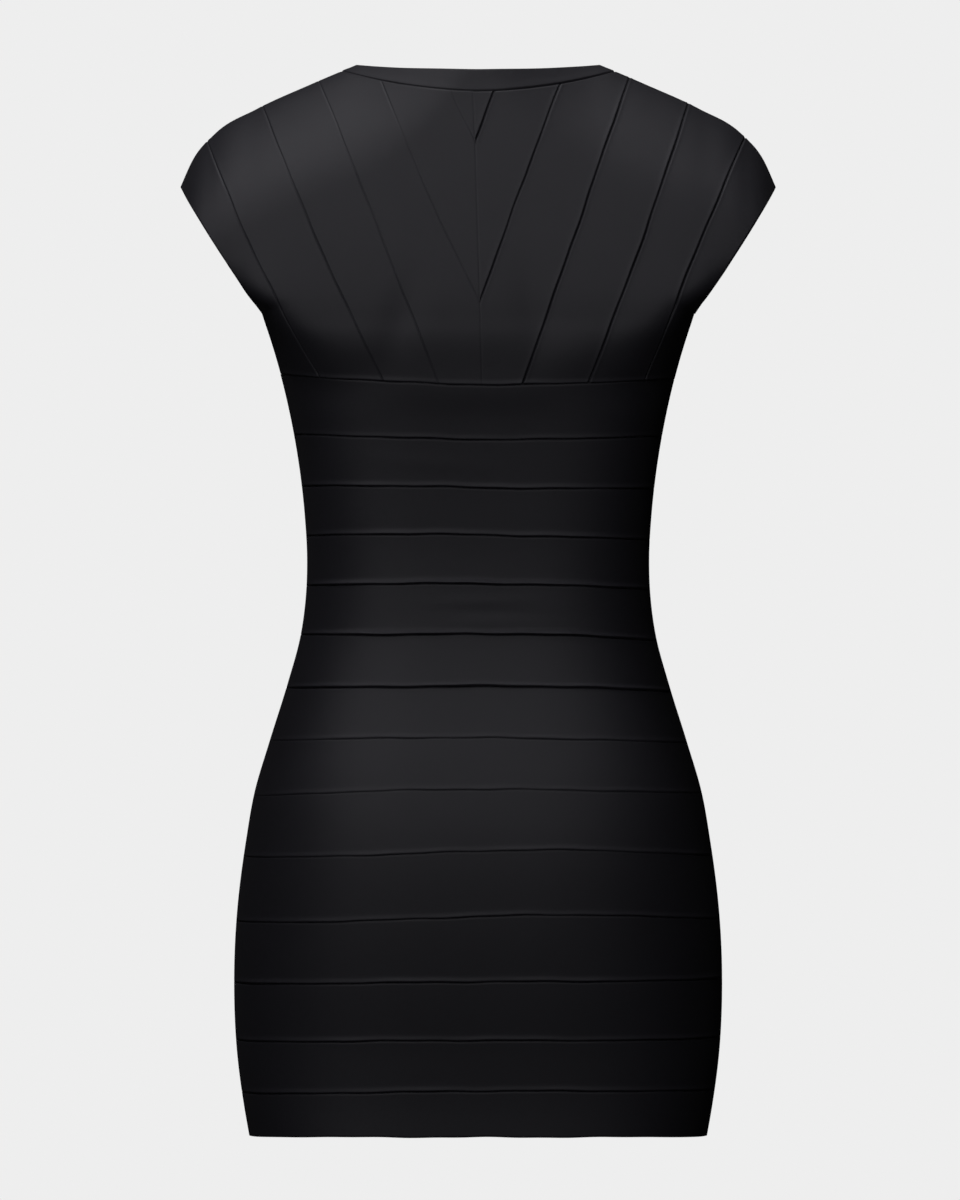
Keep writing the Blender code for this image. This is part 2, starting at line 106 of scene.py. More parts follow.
@dataclass(frozen=True)
class Face:
    """One side of the dress, back or front."""

    name: str
    sign: int  # the way the face bulges along Y
    rounding: float  # how far below the shoulder line the cloth reaches its full depth
    armhole: float  # depth of the sleeve opening on this side
    underarm_turn: float  # 2 rounds the sleeve opening off at the underarm, and more is squarer
    neck_dip: float  # height of the neck's edge at the centre
    band_dip: float  # height of the neckband's seam at the centre
    dip_power: float  # 1 is a round scoop, and 2 is a shallow one
    first_point: float  # height where the innermost seams meet at the centre
    second_point: float  # height where the next seams meet at the centre
    centre_top: float  # how far the centre seam lies from the middle at its top
    centre_foot: float  # and at the foot of the yoke
    neck_pull: tuple[float, float]  # how hard the neckband's seam pulls, left and right of the centre


BACK = Face("back", -1, 90, 84, 10, -6.5, -23, 2, -61, -181, -4, 3, (0.35, 0.8))
FRONT = Face("front", 1, 80, 54, 2.2, -70, -86, 1, -118, -186, 0, 0, (0.9, 0.9))


class SmoothCurve:
    """A smooth curve through the pairs of a table, level past its ends."""

    def __init__(self, pairs: list[tuple[float, float]]) -> None:
        """Keeps the pairs in order, with the slope at each one.

        Args:
            pairs: where, and the value there.
        """
        ordered = np.array(sorted(pairs), float)
        self.at, self.value = ordered[:, 0], ordered[:, 1]
        self.slope = np.gradient(self.value, self.at)

    def __call__(self, where: Field | float) -> Field:
        """The curve's value at each place.

        Args:
            where: one place or an array of them.

        Returns:
            The values, in the shape of the places.
        """
        place = np.clip(where, self.at[0], self.at[-1])
        i = np.clip(np.searchsorted(self.at, place) - 1, 0, len(self.at) - 2)
        span = self.at[i + 1] - self.at[i]
        t = (place - self.at[i]) / span
        start = (1 + 2 * t) * (1 - t) ** 2 * self.value[i] + t * (1 - t) ** 2 * span * self.slope[i]
        end = t**2 * (3 - 2 * t) * self.value[i + 1] + t**2 * (t - 1) * span * self.slope[i + 1]
        return start + end


@dataclass(frozen=True)
class DressForm:
    """The hollow form that the dress keeps when it is worn."""

    wall: float = 2.0  # thickness of the knit away from a seam
    neck_half: float = 90.0  # half the neck opening at the high shoulder points
    cap_tip: float = -92.0
    underarm: float = -184.0
    cap_tip_half: float = 222.0
    underarm_half: float = 163.3
    sleeve_edge_bow: float = 3.4  # how far the edge of the sleeve swells past the straight line
    sleeve_share: float = 0.96  # deepest that the sleeve opening gets, as a share of the full depth
    crest: float = 0.7  # 0.5 is a round roll over the shoulder line, and 1 is a sharp crest
    sections: tuple[Section, ...] = (
        Section(0, 222, 46, 50, 6, 3.2),
        Section(-21, 222, 51, 53, 6, 3.2),
        Section(-60, 222, 63, 57, 6, 3.2),
        Section(-90, 222, 72, 63, 6, 3.2),
        Section(-120, 222, 80, 71, 6, 3.2),
        Section(-150, 190, 87, 81, 9, 3.2),
        Section(-184, 163.3, 93, 94, 26, 4),
        Section(-194, 159.9, 94, 98, 19, 3.6),
        Section(-204, 156.6, 95, 101, 13, 3.2),
        Section(-235, 147.6, 92, 108, 5.4, 2.7),
        Section(-267, 140.2, 85.5, 106, 5.0, 2.7),
        Section(-303, 134, 80.5, 98, 5, 2.7),
        Section(-339, 130, 77, 91, 4.7, 2.7),
        Section(-371, 128.3, 75, 87, 4.4, 2.8),
        Section(-402, 129.5, 75.5, 87, 4.2, 2.8),
        Section(-430, 133.5, 78, 89, 4.2, 2.8),
        Section(-465, 143, 87, 92, 4.3, 2.8),
        Section(-510, 157, 102, 95, 4.4, 2.9),
        Section(-546, 167.6, 112.5, 95, 4.2, 2.9),
        Section(-582, 174, 118.5, 94, 4, 3),
        Section(-636, 180.8, 119, 92, 3.7, 3),
        Section(-690, 183, 113.5, 90, 3.6, 3),
        Section(-744, 180.5, 105, 88, 3.6, 3),
        Section(-780, 175.7, 101, 86, 3.9, 3),
        Section(-804, 171.5, 100, 85, 4.2, 3),
    )
    shoulder_line: tuple[ShoulderPoint, ...] = (
        ShoulderPoint(90, 0),
        ShoulderPoint(125, -15),
        ShoulderPoint(165.5, -33.5),
        ShoulderPoint(196.5, -52),
        ShoulderPoint(212.5, -71),
        ShoulderPoint(222, -92),
    )
    half_width: SmoothCurve = field(init=False)
    full_depth: dict[str, SmoothCurve] = field(init=False)
    squareness: dict[str, SmoothCurve] = field(init=False)
    shoulder_height: SmoothCurve = field(init=False)

    def __post_init__(self) -> None:
        """Draws the smooth curves through the two tables."""
        curves = {
            "half_width": SmoothCurve([(s.height, s.half_width) for s in self.sections]),
            "full_depth": {
                BACK.name: SmoothCurve([(s.height, s.back) for s in self.sections]),
                FRONT.name: SmoothCurve([(s.height, s.front) for s in self.sections]),
            },
            "squareness": {
                BACK.name: SmoothCurve([(s.height, s.back_square) for s in self.sections]),
                FRONT.name: SmoothCurve([(s.height, s.front_square) for s in self.sections]),
            },
            "shoulder_height": SmoothCurve([(p.across, p.height) for p in self.shoulder_line]),
        }
        for name, curve in curves.items():
            object.__setattr__(self, name, curve)

    def sleeve_edge(self, height: Field | float) -> Field:
        """Half the distance between the two sleeve openings at each height.

        Args:
            height: the heights.

        Returns:
            The half distances.
        """
        share = (height - self.underarm) / (self.cap_tip - self.underarm)
        straight = self.underarm_half + (self.cap_tip_half - self.underarm_half) * share
        return straight + self.sleeve_edge_bow * 4 * share * (1 - share)

    def ridge(self, face: Face, across: Field) -> Field:
        """Height of the shoulder line, carried on smoothly over the neck.

        Args:
            face: the side of the dress.
            across: distances from the centre, on either side.

        Returns:
            The height at each of them.
        """
        across = np.abs(across)
        neck, following = self.shoulder_line[:2]
        slope = (neck.height - following.height) / (following.across - neck.across)
        inwards = np.maximum(1 - across / self.neck_half, 0)
        straight = slope * self.neck_half
        over_neck = straight * inwards + (face.rounding - straight) * inwards**2
        return np.where(across >= self.neck_half, self.shoulder_height(across), over_neck)

    def spread(self, face: Face, height: Field) -> Field:
        """Half the width at each height, before the sleeve openings are cut out of it.

        Args:
            face: the side of the dress.
            height: the heights.

        Returns:
            The half widths.
        """
        upper = np.clip(height, self.underarm, self.cap_tip)
        middle = (self.cap_tip + self.underarm) / 2
        below = np.maximum(middle - upper, 0) / (middle - self.underarm)
        full = self.full_depth[face.name](upper)
        deepest = np.minimum(face.armhole, self.sleeve_share * full)
        gape = deepest * np.sqrt(np.maximum(1 - below**face.underarm_turn, 0))
        square = self.squareness[face.name](upper)
        cut = self.sleeve_edge(upper) / (1 - (gape / full) ** 2) ** (1 / square)
        return np.where(height <= self.underarm, self.half_width(height), cut)

    def inside(self, face: Face, line: Line) -> np.ndarray:
        """The points in space of a line, on the inside of the knit.

        Args:
            face: the side of the dress.
            line: an array whose last axis is (across, height).

        Returns:
            An array of the same shape, whose last axis is (x, y, z) in millimetres.
        """
        across, height = line[..., 0], line[..., 1]
        full = self.full_depth[face.name](height)
        outwards = np.abs(across) / self.spread(face, height)
        square = self.squareness[face.name](height)
        sideways = np.sqrt(np.maximum(1 - outwards**square, 0))
        below = np.clip((self.ridge(face, across) - height) / face.rounding, 0, 1)
        reach = full * sideways * (1 - (1 - below) ** 2) ** self.crest
        beside_sleeve = (height > self.underarm) & (height < self.cap_tip)
        level_width = np.where(beside_sleeve, self.sleeve_edge(height), self.half_width(height))
        turned = outwards**square  # how far the cloth has turned to face sideways
        x = across * (1 - self.wall * turned / np.maximum(level_width, self.neck_half))
        y = face.sign * reach * (1 - self.wall / full)
        lower = np.where(height > self.underarm, self.wall * (1 - np.minimum(reach / full, 1)), 0)
        return np.stack([x, y, height - lower], axis=-1)

    def lengths(self, face: Face, line: Line) -> Field:
        """How far along the dress each point of a line lies."""
        steps = np.linalg.norm(np.diff(self.inside(face, line), axis=0), axis=1)
        return np.concatenate([[0], np.cumsum(steps)])

    def evenly(self, face: Face, line: Line, shares: Field) -> Line:
        """The points of a line at these shares of its length on the dress.

        Args:
            face: the side of the dress.
            line: the line.
            shares: shares of its length, from 0 to 1.

        Returns:
            One point for each share.
        """
        length = self.lengths(face, line)
        wanted = shares * length[-1]
        return np.stack([np.interp(wanted, length, line[:, axis]) for axis in (0, 1)], axis=-1)


# ---------------------------------------------------------------------------------------------
# The pattern: the lines that the strips are cut to
# ---------------------------------------------------------------------------------------------


class LevelSeam(NamedTuple):
    """A level seam: its height at the side seams, its rise at the centres, and how it is sewn."""

    height: float
    rise_back: float
    rise_front: float
    tilt: float
    sway: float  # rise midway to the right side, and the same fall midway to the left
    bow: int  # 2 is an even bow between the sides, and more is straighter with quick ends
    strength: float  # how far it pulls the knit in, where 1 is a seam that pulls hard
    welt: float  # how far the strip above it swells, where 1 is the welt's own height


class SlantingSeam(NamedTuple):
    """A slanting seam of the yoke: where its top lies, where its foot lies, its bow and its strength."""

    top: float
    foot: float
    bow: float  # how far it swells outwards, away from the centre
    strength: float


@dataclass(frozen=True)
class Pattern:
    """The lines of the cut, drawn on the form as (across, height)."""

    form: DressForm
    fine: int = 96  # spans that a line is traced with
    band_seam_half: float = 101.5  # where the neckband's seam crosses the shoulder line
    waver: float = 0.3  # how far a seam strays from its smooth line
    slow_waver: float = 15.0  # distance along a seam in which its slow wave turns by a radian
    quick_waver: float = 6.4  # and its quick wave
    quick_share: float = 0.6  # height of the quick wave, as a share of the slow one's
    quick_start: float = 2.3  # how much faster the quick wave's start changes from seam to seam
    level_seams: tuple[LevelSeam, ...] = (
        LevelSeam(-234.0, -8.0, -3.0, -1.5, 0.0, 2, 0.85, 0.8),
        LevelSeam(-278.3, -4.4, -1.4, -0.6, -0.3, 2, 1.12, 0.45),
        LevelSeam(-317.2, -1.2, -1.2, -0.8, -0.6, 2, 1.12, 0.85),
        LevelSeam(-355.2, 1.7, 0.7, -1.4, -0.4, 2, 1.1, 1.0),
        LevelSeam(-392.6, 2.7, 1.7, -1.3, 0.0, 2, 1.05, 1.7),
        LevelSeam(-430.4, 2.9, 2.4, -2.3, 0.9, 2, 1, 1.9),
        LevelSeam(-469.5, 3.1, 2.1, -1.4, 0.6, 2, 0.92, 1.6),
        LevelSeam(-508.2, 3.6, 1.8, -0.8, 0.0, 2, 0.28, 2.0),
        LevelSeam(-547.6, 5.2, 1.5, 1.1, -0.2, 2, 0.25, 1.7),
        LevelSeam(-593.4, 5.7, 1.5, 0.5, 1.6, 2, 0.38, 1.5),
        LevelSeam(-641.0, 5.3, 1.5, 1.1, 1.6, 2, 0.66, 0.9),
        LevelSeam(-685.9, 2.1, 1.2, 1.8, -0.2, 2, 1.08, 0.8),
        LevelSeam(-729.3, 1.9, 1.2, 1.4, -0.4, 2, 1.12, 0.7),
        LevelSeam(-768.4, 3.2, 1.8, 1.3, 0.0, 2, 1, 0.7),
        LevelSeam(-803.0, 3.2, 2.5, 0.0, 0.0, 6, 1, 1),
    )
    back_left: tuple[SlantingSeam, ...] = (
        SlantingSeam(-21, -3.5, 0, 0.12),
        SlantingSeam(-72, 1, 3, 0.16),
        SlantingSeam(-119, -29, 0, 0.22),
        SlantingSeam(-161, -70, 4, 0.34),
        SlantingSeam(-202, -117, 6, 0.36),
    )
    back_right: tuple[SlantingSeam, ...] = (
        SlantingSeam(12, -3.5, 0, 0.9),
        SlantingSeam(61, 1, 0, 0.65),
        SlantingSeam(113, 33, 1, 0.95),
        SlantingSeam(157, 81.5, 3, 1),
        SlantingSeam(199, 123, 0, 1),
    )
    front_right: tuple[SlantingSeam, ...] = (
        SlantingSeam(17, 0, 0, 0.8),
        SlantingSeam(64, 0, 0, 0.8),
        SlantingSeam(116, 31, 0, 0.9),
        SlantingSeam(159, 77, 3, 0.9),
        SlantingSeam(200, 120, 2, 0.9),
    )

    @property
    def share(self) -> Field:
        """Even shares from 0 to 1, one for each point of a traced line."""
        return np.linspace(0, 1, self.fine + 1)

    @property
    def yoke_foot(self) -> LevelSeam:
        """The level seam that the yoke ends at."""
        return self.level_seams[0]

    def slanting_seams(self, face: Face, side: int) -> tuple[SlantingSeam, ...]:
        """The slanting seams of one side of one face, from the centre outwards.

        Args:
            face: the side of the dress.
            side: -1 for the left half and 1 for the right one.

        Returns:
            The five seams. The front's left half mirrors its right one.
        """
        if face is BACK:
            return self.back_left if side < 0 else self.back_right
        if side > 0:
            return self.front_right
        return tuple(SlantingSeam(-s.top, -s.foot, s.bow, s.strength) for s in self.front_right)

    def round_neck(
        self, face: Face, half: float, ends: tuple[float, float], at_side: float, dip: float
    ) -> Line:
        """A line round the neck.

        Args:
            face: the side of the dress.
            half: how far from the centre the line meets the shoulder line.
            ends: the distances from the centre between which it is drawn.
            at_side: its height at the shoulder line.
            dip: its height at the centre.

        Returns:
            The line's points.
        """
        first, last = np.arcsin(np.clip(np.array(ends) / half, -1, 1))
        turn = first + (last - first) * self.share
        height = at_side + (dip - at_side) * np.cos(turn) ** face.dip_power
        return np.stack([half * np.sin(turn), height], axis=-1)

    def neck_edge(self, face: Face) -> Line:
        """The dress's top edge, from left to right."""
        half = self.form.neck_half
        return self.round_neck(face, half, (-half, half), 0, face.neck_dip)

    def neck_seam(self, face: Face, start: float, end: float) -> Line:
        """The neckband's lower seam, between two distances from the centre."""
        at_side = float(self.form.shoulder_height(self.band_seam_half))
        return self.round_neck(face, self.band_seam_half, (start, end), at_side, face.band_dip)

    def shoulder_seam(self, start: float, end: float) -> Line:
        """The shoulder line between two distances from the centre, on either side."""
        across = start + (end - start) * self.share
        return np.stack([across, self.form.shoulder_height(np.abs(across))], axis=-1)

    def seam_height(self, face: Face, seam: LevelSeam, across: Field | float) -> Field:
        """Height of a level seam at these distances from the centre.

        Args:
            face: the side of the dress.
            seam: the seam.
            across: the distances from the centre.

        Returns:
            The heights.
        """
        share = across / self.form.half_width(seam.height)
        rise = seam.rise_back if face is BACK else seam.rise_front
        sway = seam.sway * np.sin(np.pi * share) + self.stray(across, seam.height) * (1 - share**2)
        return seam.height + rise * (1 - share**seam.bow) + seam.tilt * share + sway

    def level_line(self, face: Face, seam: LevelSeam, start: float, end: float) -> Line:
        """A level seam between two distances from the centre, with its points closer at the sides.

        Args:
            face: the side of the dress.
            seam: the seam.
            start: where the line starts, as a distance from the centre.
            end: where it ends.

        Returns:
            The line's points.
        """
        half = float(self.form.half_width(seam.height))
        first, last = np.arcsin(np.clip(np.array([start, end]) / half, -1, 1))
        across = half * np.sin(first + (last - first) * self.share)
        return np.stack([across, self.seam_height(face, seam, across)], axis=-1)

    def side_line(self, side: int, top: float, foot: float) -> Line:
        """The side seam between two heights."""
        height = top + (foot - top) * self.share
        return np.stack([side * self.form.half_width(height), height], axis=-1)

    def sleeve_line(self, side: int) -> Line:
        """The edge of the sleeve opening, from the cap's tip to the underarm.

        Args:
            side: -1 for the left sleeve and 1 for the right one.

        Returns:
            The line's points, closer together at both ends.
        """
        top, foot = self.form.cap_tip, self.form.underarm
        height = (top + foot) / 2 + (top - foot) / 2 * np.cos(math.pi * self.share)
        return np.stack([side * self.form.sleeve_edge(height), height], axis=-1)

    def stray(self, along: Field | float, start: float) -> Field:
        """How far a seam strays from its smooth line, at these distances along it.

        Args:
            along: the distances.
            start: a number that is the seam's own, so that no two seams stray alike.

        Returns:
            How far it lies to one side.
        """
        slow = np.sin(along / self.slow_waver + start)
        quick = np.sin(along / self.quick_waver + self.quick_start * start)
        return self.waver * (slow + self.quick_share * quick)

    def slanting_line(self, top: Line, foot: Line, bow: float) -> Line:
        """A slanting seam of the yoke, with its points closer at the shoulder.

        Args:
            top: the seam's point at the neck or the shoulder.
            foot: its point at the centre seam or the yoke's foot.
            bow: how far it swells away from the centre.

        Returns:
            The line's points.
        """
        along = self.share**2
        stray = self.stray(along * np.linalg.norm(foot - top), top[0])
        swell = (math.copysign(bow, top[0]) + stray) * 4 * along * (1 - along)
        across = top[0] + (foot[0] - top[0]) * along + swell
        height = top[1] + (foot[1] - top[1]) * along
        return np.stack([across, height], axis=-1)

    def straight(self, start: Line, end: Line) -> Line:
        """A straight line between two points."""
        return start + (end - start) * self.share[:, None]


# ---------------------------------------------------------------------------------------------
# How the knit lies: seams that pull it in, and soft folds
# ---------------------------------------------------------------------------------------------


@dataclass(frozen=True)
class EdgeShape:
    """How thick the knit is near one of its edges."""

    left: float  # share of the wall that is left at the edge
    pull: float  # distance over which the wall thins
    lip: float = 0.0  # height of the soft ridge beside the edge
    lip_at: float = 2.0  # distance of the ridge from the edge
    lip_width: float = 1.2
    calm: float = 0.0  # distance from the edge within which the strip's other seams fade out
    flat: float = 0.0  # and within which their ridges do

    def share(self, distance: Field) -> Field:
        """Share of the wall that is left at these distances."""
        return 1 - (1 - self.left) * np.exp(-((distance / self.pull) ** 2))

    def ridge(self, distance: Field) -> Field:
        """Height of the soft ridge at these distances."""
        return self.lip * np.exp(-(((distance - self.lip_at) / self.lip_width) ** 2))


class Edge(Enum):
    """The ways that an edge of a strip is finished."""

    WELT = EdgeShape(0.45, 0.42, 0.90, 1.0, 1.85)  # the lower edge of a strip, over the next one
    TUCK = EdgeShape(0.36, 0.85)  # the upper edge of the next one, under it
    GROOVE = EdgeShape(0.28, 0.6, 0.20, 1.3, 1.4)  # two strips edge to edge
    FLAT = EdgeShape(0.93, 0.7)  # the centre seam, which hardly shows
    SHOULDER = EdgeShape(0.7, 0.8)
    SIDE = EdgeShape(0.88, 0.8, calm=14.0, flat=42.0)
    BAND = EdgeShape(0.5, 0.5, 0.35, 1.5, 3.2)  # the neckband's lower edge
    FOLD = EdgeShape(0.45, 0.55)  # a turned edge: hem, sleeve and neck


class Border(NamedTuple):
    """A line along which a strip is finished in one way."""

    line: Line
    edge: Edge
    strength: float = 1.0
    welt: float = 1.0  # height of the ridge beside the edge, where 1 is the edge's own


@dataclass(frozen=True)
class SoftFold:
    """A soft ridge in the cloth, or a trough where its height is below zero."""

    across: float
    height: float
    long: float
    wide: float
    rise: float
    turn: float = 0.0  # degrees, from level, anticlockwise as seen from behind

    def rise_at(self, across: Field, height: Field) -> Field:
        """How far the cloth is lifted at these places.

        Args:
            across: distances from the centre.
            height: heights.

        Returns:
            The lift, below 0 in a trough.
        """
        turn = math.radians(self.turn)
        along = (across - self.across) * math.cos(turn) + (height - self.height) * math.sin(turn)
        beside = (height - self.height) * math.cos(turn) - (across - self.across) * math.sin(turn)
        return self.rise * np.exp(-((along / self.long) ** 2) - (beside / self.wide) ** 2)


@dataclass(frozen=True)
class Drape:
    """The soft folds of both sides of the dress."""

    folds: dict[str, tuple[SoftFold, ...]] = field(
        default_factory=lambda: {
            BACK.name: (
                SoftFold(4, -403, 34, 3.2, 0.34, 2),
                SoftFold(12, -411, 40, 3.0, -0.32, -2),
                SoftFold(2, -419, 30, 3.4, 0.30, 1),
                SoftFold(-58, -196, 34, 13, -1.3, 74),
                SoftFold(42, -192, 34, 13, -1.2, 104),
                SoftFold(8, -247, 58, 15, 1.1, 0),
                SoftFold(64, -222, 26, 15, 1.2, 12),
                SoftFold(-84, -232, 24, 13, -0.9, 0),
                SoftFold(-38, -300, 46, 6.0, 0.25, -4),
                SoftFold(-60, -520, 60, 14, 0.35, 8),
                SoftFold(58, -556, 70, 16, -0.30, -6),
            ),
            FRONT.name: (
                SoftFold(-6, -398, 42, 3.4, 0.30, -2),
                SoftFold(8, -407, 36, 3.2, -0.26, 2),
                SoftFold(-2, -416, 30, 3.6, 0.24, 1),
                SoftFold(0, -262, 40, 8.0, -0.30, 0),
                SoftFold(52, -540, 64, 14, 0.30, -7),
                SoftFold(-50, -600, 60, 15, -0.30, 6),
            ),
        }
    )

    def rise(self, face: Face, flat: Line) -> Field:
        """How far all the folds lift the cloth at these places of a face.

        Args:
            face: the side of the dress.
            flat: places, whose last axis is (across, height).

        Returns:
            The lift at each place.
        """
        lifted = np.zeros(flat.shape[:-1])
        for fold in self.folds[face.name]:
            lifted += fold.rise_at(flat[..., 0], flat[..., 1])
        return lifted


# ---------------------------------------------------------------------------------------------
# A strip of knit
# ---------------------------------------------------------------------------------------------


@dataclass(frozen=True)
class Fineness:
    """How finely a strip is drawn. The offsets crowd the points where a seam shapes the knit."""

    offsets: tuple[float, ...] = (0, 0.2, 0.42, 0.7, 1.0, 1.4, 1.9, 2.6, 3.5, 4.6, 6.0)
    across_step: float = 2.6
    along_step: float = 3.8
    narrowest: float = 14.0  # a row shorter than this keeps the shares of a row this long
    edge_share: float = 0.45  # the crowded points stay within this share of a row, at each end

    def crowded(self, length: float) -> tuple[float, ...]:
        """The offsets that a row of this length has room for."""
        return tuple(offset for offset in self.offsets if offset < length * self.edge_share)

    def shares(self, length: float, step: float) -> Field:
        """Where the points of a line of this length lie, as shares of it.

        Args:
            length: the line's length.
            step: the distance between points away from its ends.

        Returns:
            The shares, from 0 to 1.
        """
        length = max(length, self.narrowest)
        start = np.array(self.crowded(length)) / length
        spans = max(round((1 - 2 * start[-1]) * length / step), 2)
        middle = np.linspace(start[-1], 1 - start[-1], spans + 1)[1:-1]
        return np.concatenate([start, middle, 1 - start[::-1]])


class Ripple(NamedTuple):
    """A wave in the pull of the stitches, by the distances in which it turns by a radian."""

    across: float
    height: float
    start: float
    share: float  # its part of the unevenness


class Knit(NamedTuple):
    """How the knit is stretched on the wearer, how thick it gets and how its pieces meet."""

    stretch: float = 1.12  # worn length of a strip for each unit of its cut length
    half_gap: float = -0.05  # two strips meet, with no crack between them
    thinnest: float = 0.3
    fullest: float = 3.8
    uneven: float = 0.14  # how much the pull of the stitches varies
    ripples: tuple[Ripple, ...] = (Ripple(19.0, 13.0, 0.0, 1.0), Ripple(7.7, -8.9, 1.7, 0.6))
    same_point: float = 0.03  # points closer than this are one
    least_step: float = 1e-6  # shortest step between two points that still has a direction
    least_square: float = 1e-9  # and the least square of a step, or length of a cross product
    sharp: float = math.radians(55)


KNIT = Knit()


@dataclass
class KnitStrip:
    """A strip of knit between a near and a far edge, from its top end to its foot end."""

    node: str
    face: Face
    near: Line
    far: Line
    top: Line
    foot: Line
    borders: list[Border]
    form: DressForm
    drape: Drape
    fineness: Fineness = Fineness()
    cut: tuple[float, float, float] = (0.0, 0.0, 0.0)  # width, length and area, filled by build

    def build(self) -> bpy.types.Object:
        """Makes the strip's mesh.

        Returns:
            The finished object, at the origin, with its place in its mesh.
        """
        flat = self.lay_out()
        inner = self.form.inside(self.face, flat)
        thickness = self.thickness(inner)
        outwards = self.outwards(np.gradient(inner, axis=0), np.gradient(inner, axis=1))
        inner = self.set_back(inner) + outwards * self.drape.rise(self.face, flat)[..., None]
        self.measure(inner)
        return self.shell(inner, thickness, self.spread_out(inner))

    def lay_out(self) -> Line:
        """Places the strip's points between its four edges, row by row.

        Returns:
            An array of rows, columns and (across, height).
        """
        form, face = self.form, self.face
        even = np.linspace(0, 1, len(self.top))
        long = max(form.lengths(face, line)[-1] for line in (self.near, self.far))
        downs = self.fineness.shares(long, self.fineness.along_step)
        near, far = (form.evenly(face, line, downs) for line in (self.near, self.far))
        top, foot = (form.evenly(face, line, even) for line in (self.top, self.foot))
        d, u = downs[:, None, None], even[None, :, None]
        sides = (1 - u) * near[:, None] + u * far[:, None]
        ends = (1 - d) * top[None] + d * foot[None]
        corners = (1 - d) * ((1 - u) * near[0] + u * far[0]) + d * ((1 - u) * near[-1] + u * far[-1])
        rows = sides + ends - corners
        widths = [form.lengths(face, row)[-1] for row in rows]
        widest = self.fineness.shares(max(widths), self.fineness.across_step)
        placed = []
        for row, width in zip(rows, widths):
            shares = self.fitted(widest, max(widths), width)
            placed.append(form.evenly(face, row, shares))
        return np.array(placed)

    def fitted(self, shares: Field, widest: float, width: float) -> Field:
        """The shares of the widest row, moved so that the points beside the edges keep their distances.

        Args:
            shares: the shares of the widest row.
            widest: its length.
            width: the length of the row that is laid out.

        Returns:
            The shares of that row.
        """
        narrowest = self.fineness.narrowest
        count = len(self.fineness.crowded(max(widest, narrowest)))
        edge = np.array(self.fineness.offsets[:count]) / max(width, narrowest)
        inner = shares[count - 1 : len(shares) - count + 1]
        spread = (inner - inner[0]) / (inner[-1] - inner[0])
        middle = edge[-1] + (1 - 2 * edge[-1]) * spread
        return np.concatenate([edge[:-1], middle, 1 - edge[-2::-1]]) if count > 1 else middle

    def thickness(self, inner: np.ndarray) -> Field:
        """Thickness of the wall at each point, from its distances to the borders.

        Args:
            inner: the points of the inside, in rows and columns.

        Returns:
            The wall at each point.
        """
        points = inner.reshape(-1, 3)
        lines = [self.form.inside(self.face, border.line) for border in self.borders]
        near = [self.distances(points, line) for line in lines]
        steady, raised = np.ones(len(points)), np.ones(len(points))
        for border, distance in zip(self.borders, near):
            if border.edge.value.calm:
                steady *= 1 - np.exp(-((distance / border.edge.value.calm) ** 2))
                raised *= 1 - np.exp(-((distance / border.edge.value.flat) ** 2))
        pull = self.unevenness(points)
        wall = np.full(len(points), self.form.wall)
        lips = np.zeros(len(points))
        for border, distance in zip(self.borders, near):
            shape = border.edge.value
            strength = border.strength * (1.0 if shape.calm else steady * pull)
            share = 1 - (1 - shape.share(distance)) * strength
            ridge = shape.ridge(distance) * strength * raised * border.welt
            wall, lips = wall * share, lips * share + ridge
        return np.clip(wall + lips, KNIT.thinnest, KNIT.fullest).reshape(inner.shape[:2])

    @staticmethod
    def unevenness(points: np.ndarray) -> Field:
        """How hard the stitches pull near each point, as a share, which varies softly along a seam.

        Args:
            points: the points.

        Returns:
            A share around 1 for each point.
        """
        across, height = points[:, 0], points[:, 2]
        pull = np.zeros(len(points))
        for ripple in KNIT.ripples:
            pull += ripple.share * np.sin(across / ripple.across + height / ripple.height + ripple.start)
        return 1 + KNIT.uneven * pull

    @staticmethod
    def distances(points: np.ndarray, line: np.ndarray) -> Field:
        """Distance of each point from a line in space.

        Args:
            points: the points.
            line: the points of the line, in order.

        Returns:
            The distances.
        """
        best = np.full(len(points), np.inf)
        for start, end in zip(line, line[1:]):
            step = end - start
            length = float(step @ step)
            if length < KNIT.least_square:
                continue
            share = np.clip((points - start) @ step / length, 0, 1)
            best = np.minimum(best, np.linalg.norm(points - start - share[:, None] * step, axis=1))
        return best

    def outwards(self, along: np.ndarray, across: np.ndarray) -> np.ndarray:
        """The way out of the dress at each point, as unit vectors.

        Args:
            along: the way to the next row at each point.
            across: the way to the next column at each point.

        Returns:
            The unit vectors.
        """
        normal = np.cross(along, across)
        normal *= np.sign((normal[..., 1] * self.face.sign).sum())
        return normal / np.maximum(np.linalg.norm(normal, axis=-1, keepdims=True), KNIT.least_square)

    def set_back(self, inner: np.ndarray) -> np.ndarray:
        """Moves the outermost points in by half the gap between two pieces, or out where it is below 0.

        Args:
            inner: the points of the inside, in rows and columns.

        Returns:
            The points, with those of the four edges moved.
        """
        moved = inner.copy()
        borders = (
            (np.s_[:, 0], np.s_[:, 1]),
            (np.s_[:, -1], np.s_[:, -2]),
            (np.s_[0], np.s_[1]),
            (np.s_[-1], np.s_[-2]),
        )
        for edge, beside in borders:
            way = inner[beside] - inner[edge]
            length = np.maximum(np.linalg.norm(way, axis=-1, keepdims=True), KNIT.least_step)
            moved[edge] += way / length * np.minimum(KNIT.half_gap, length / 2)
        return moved

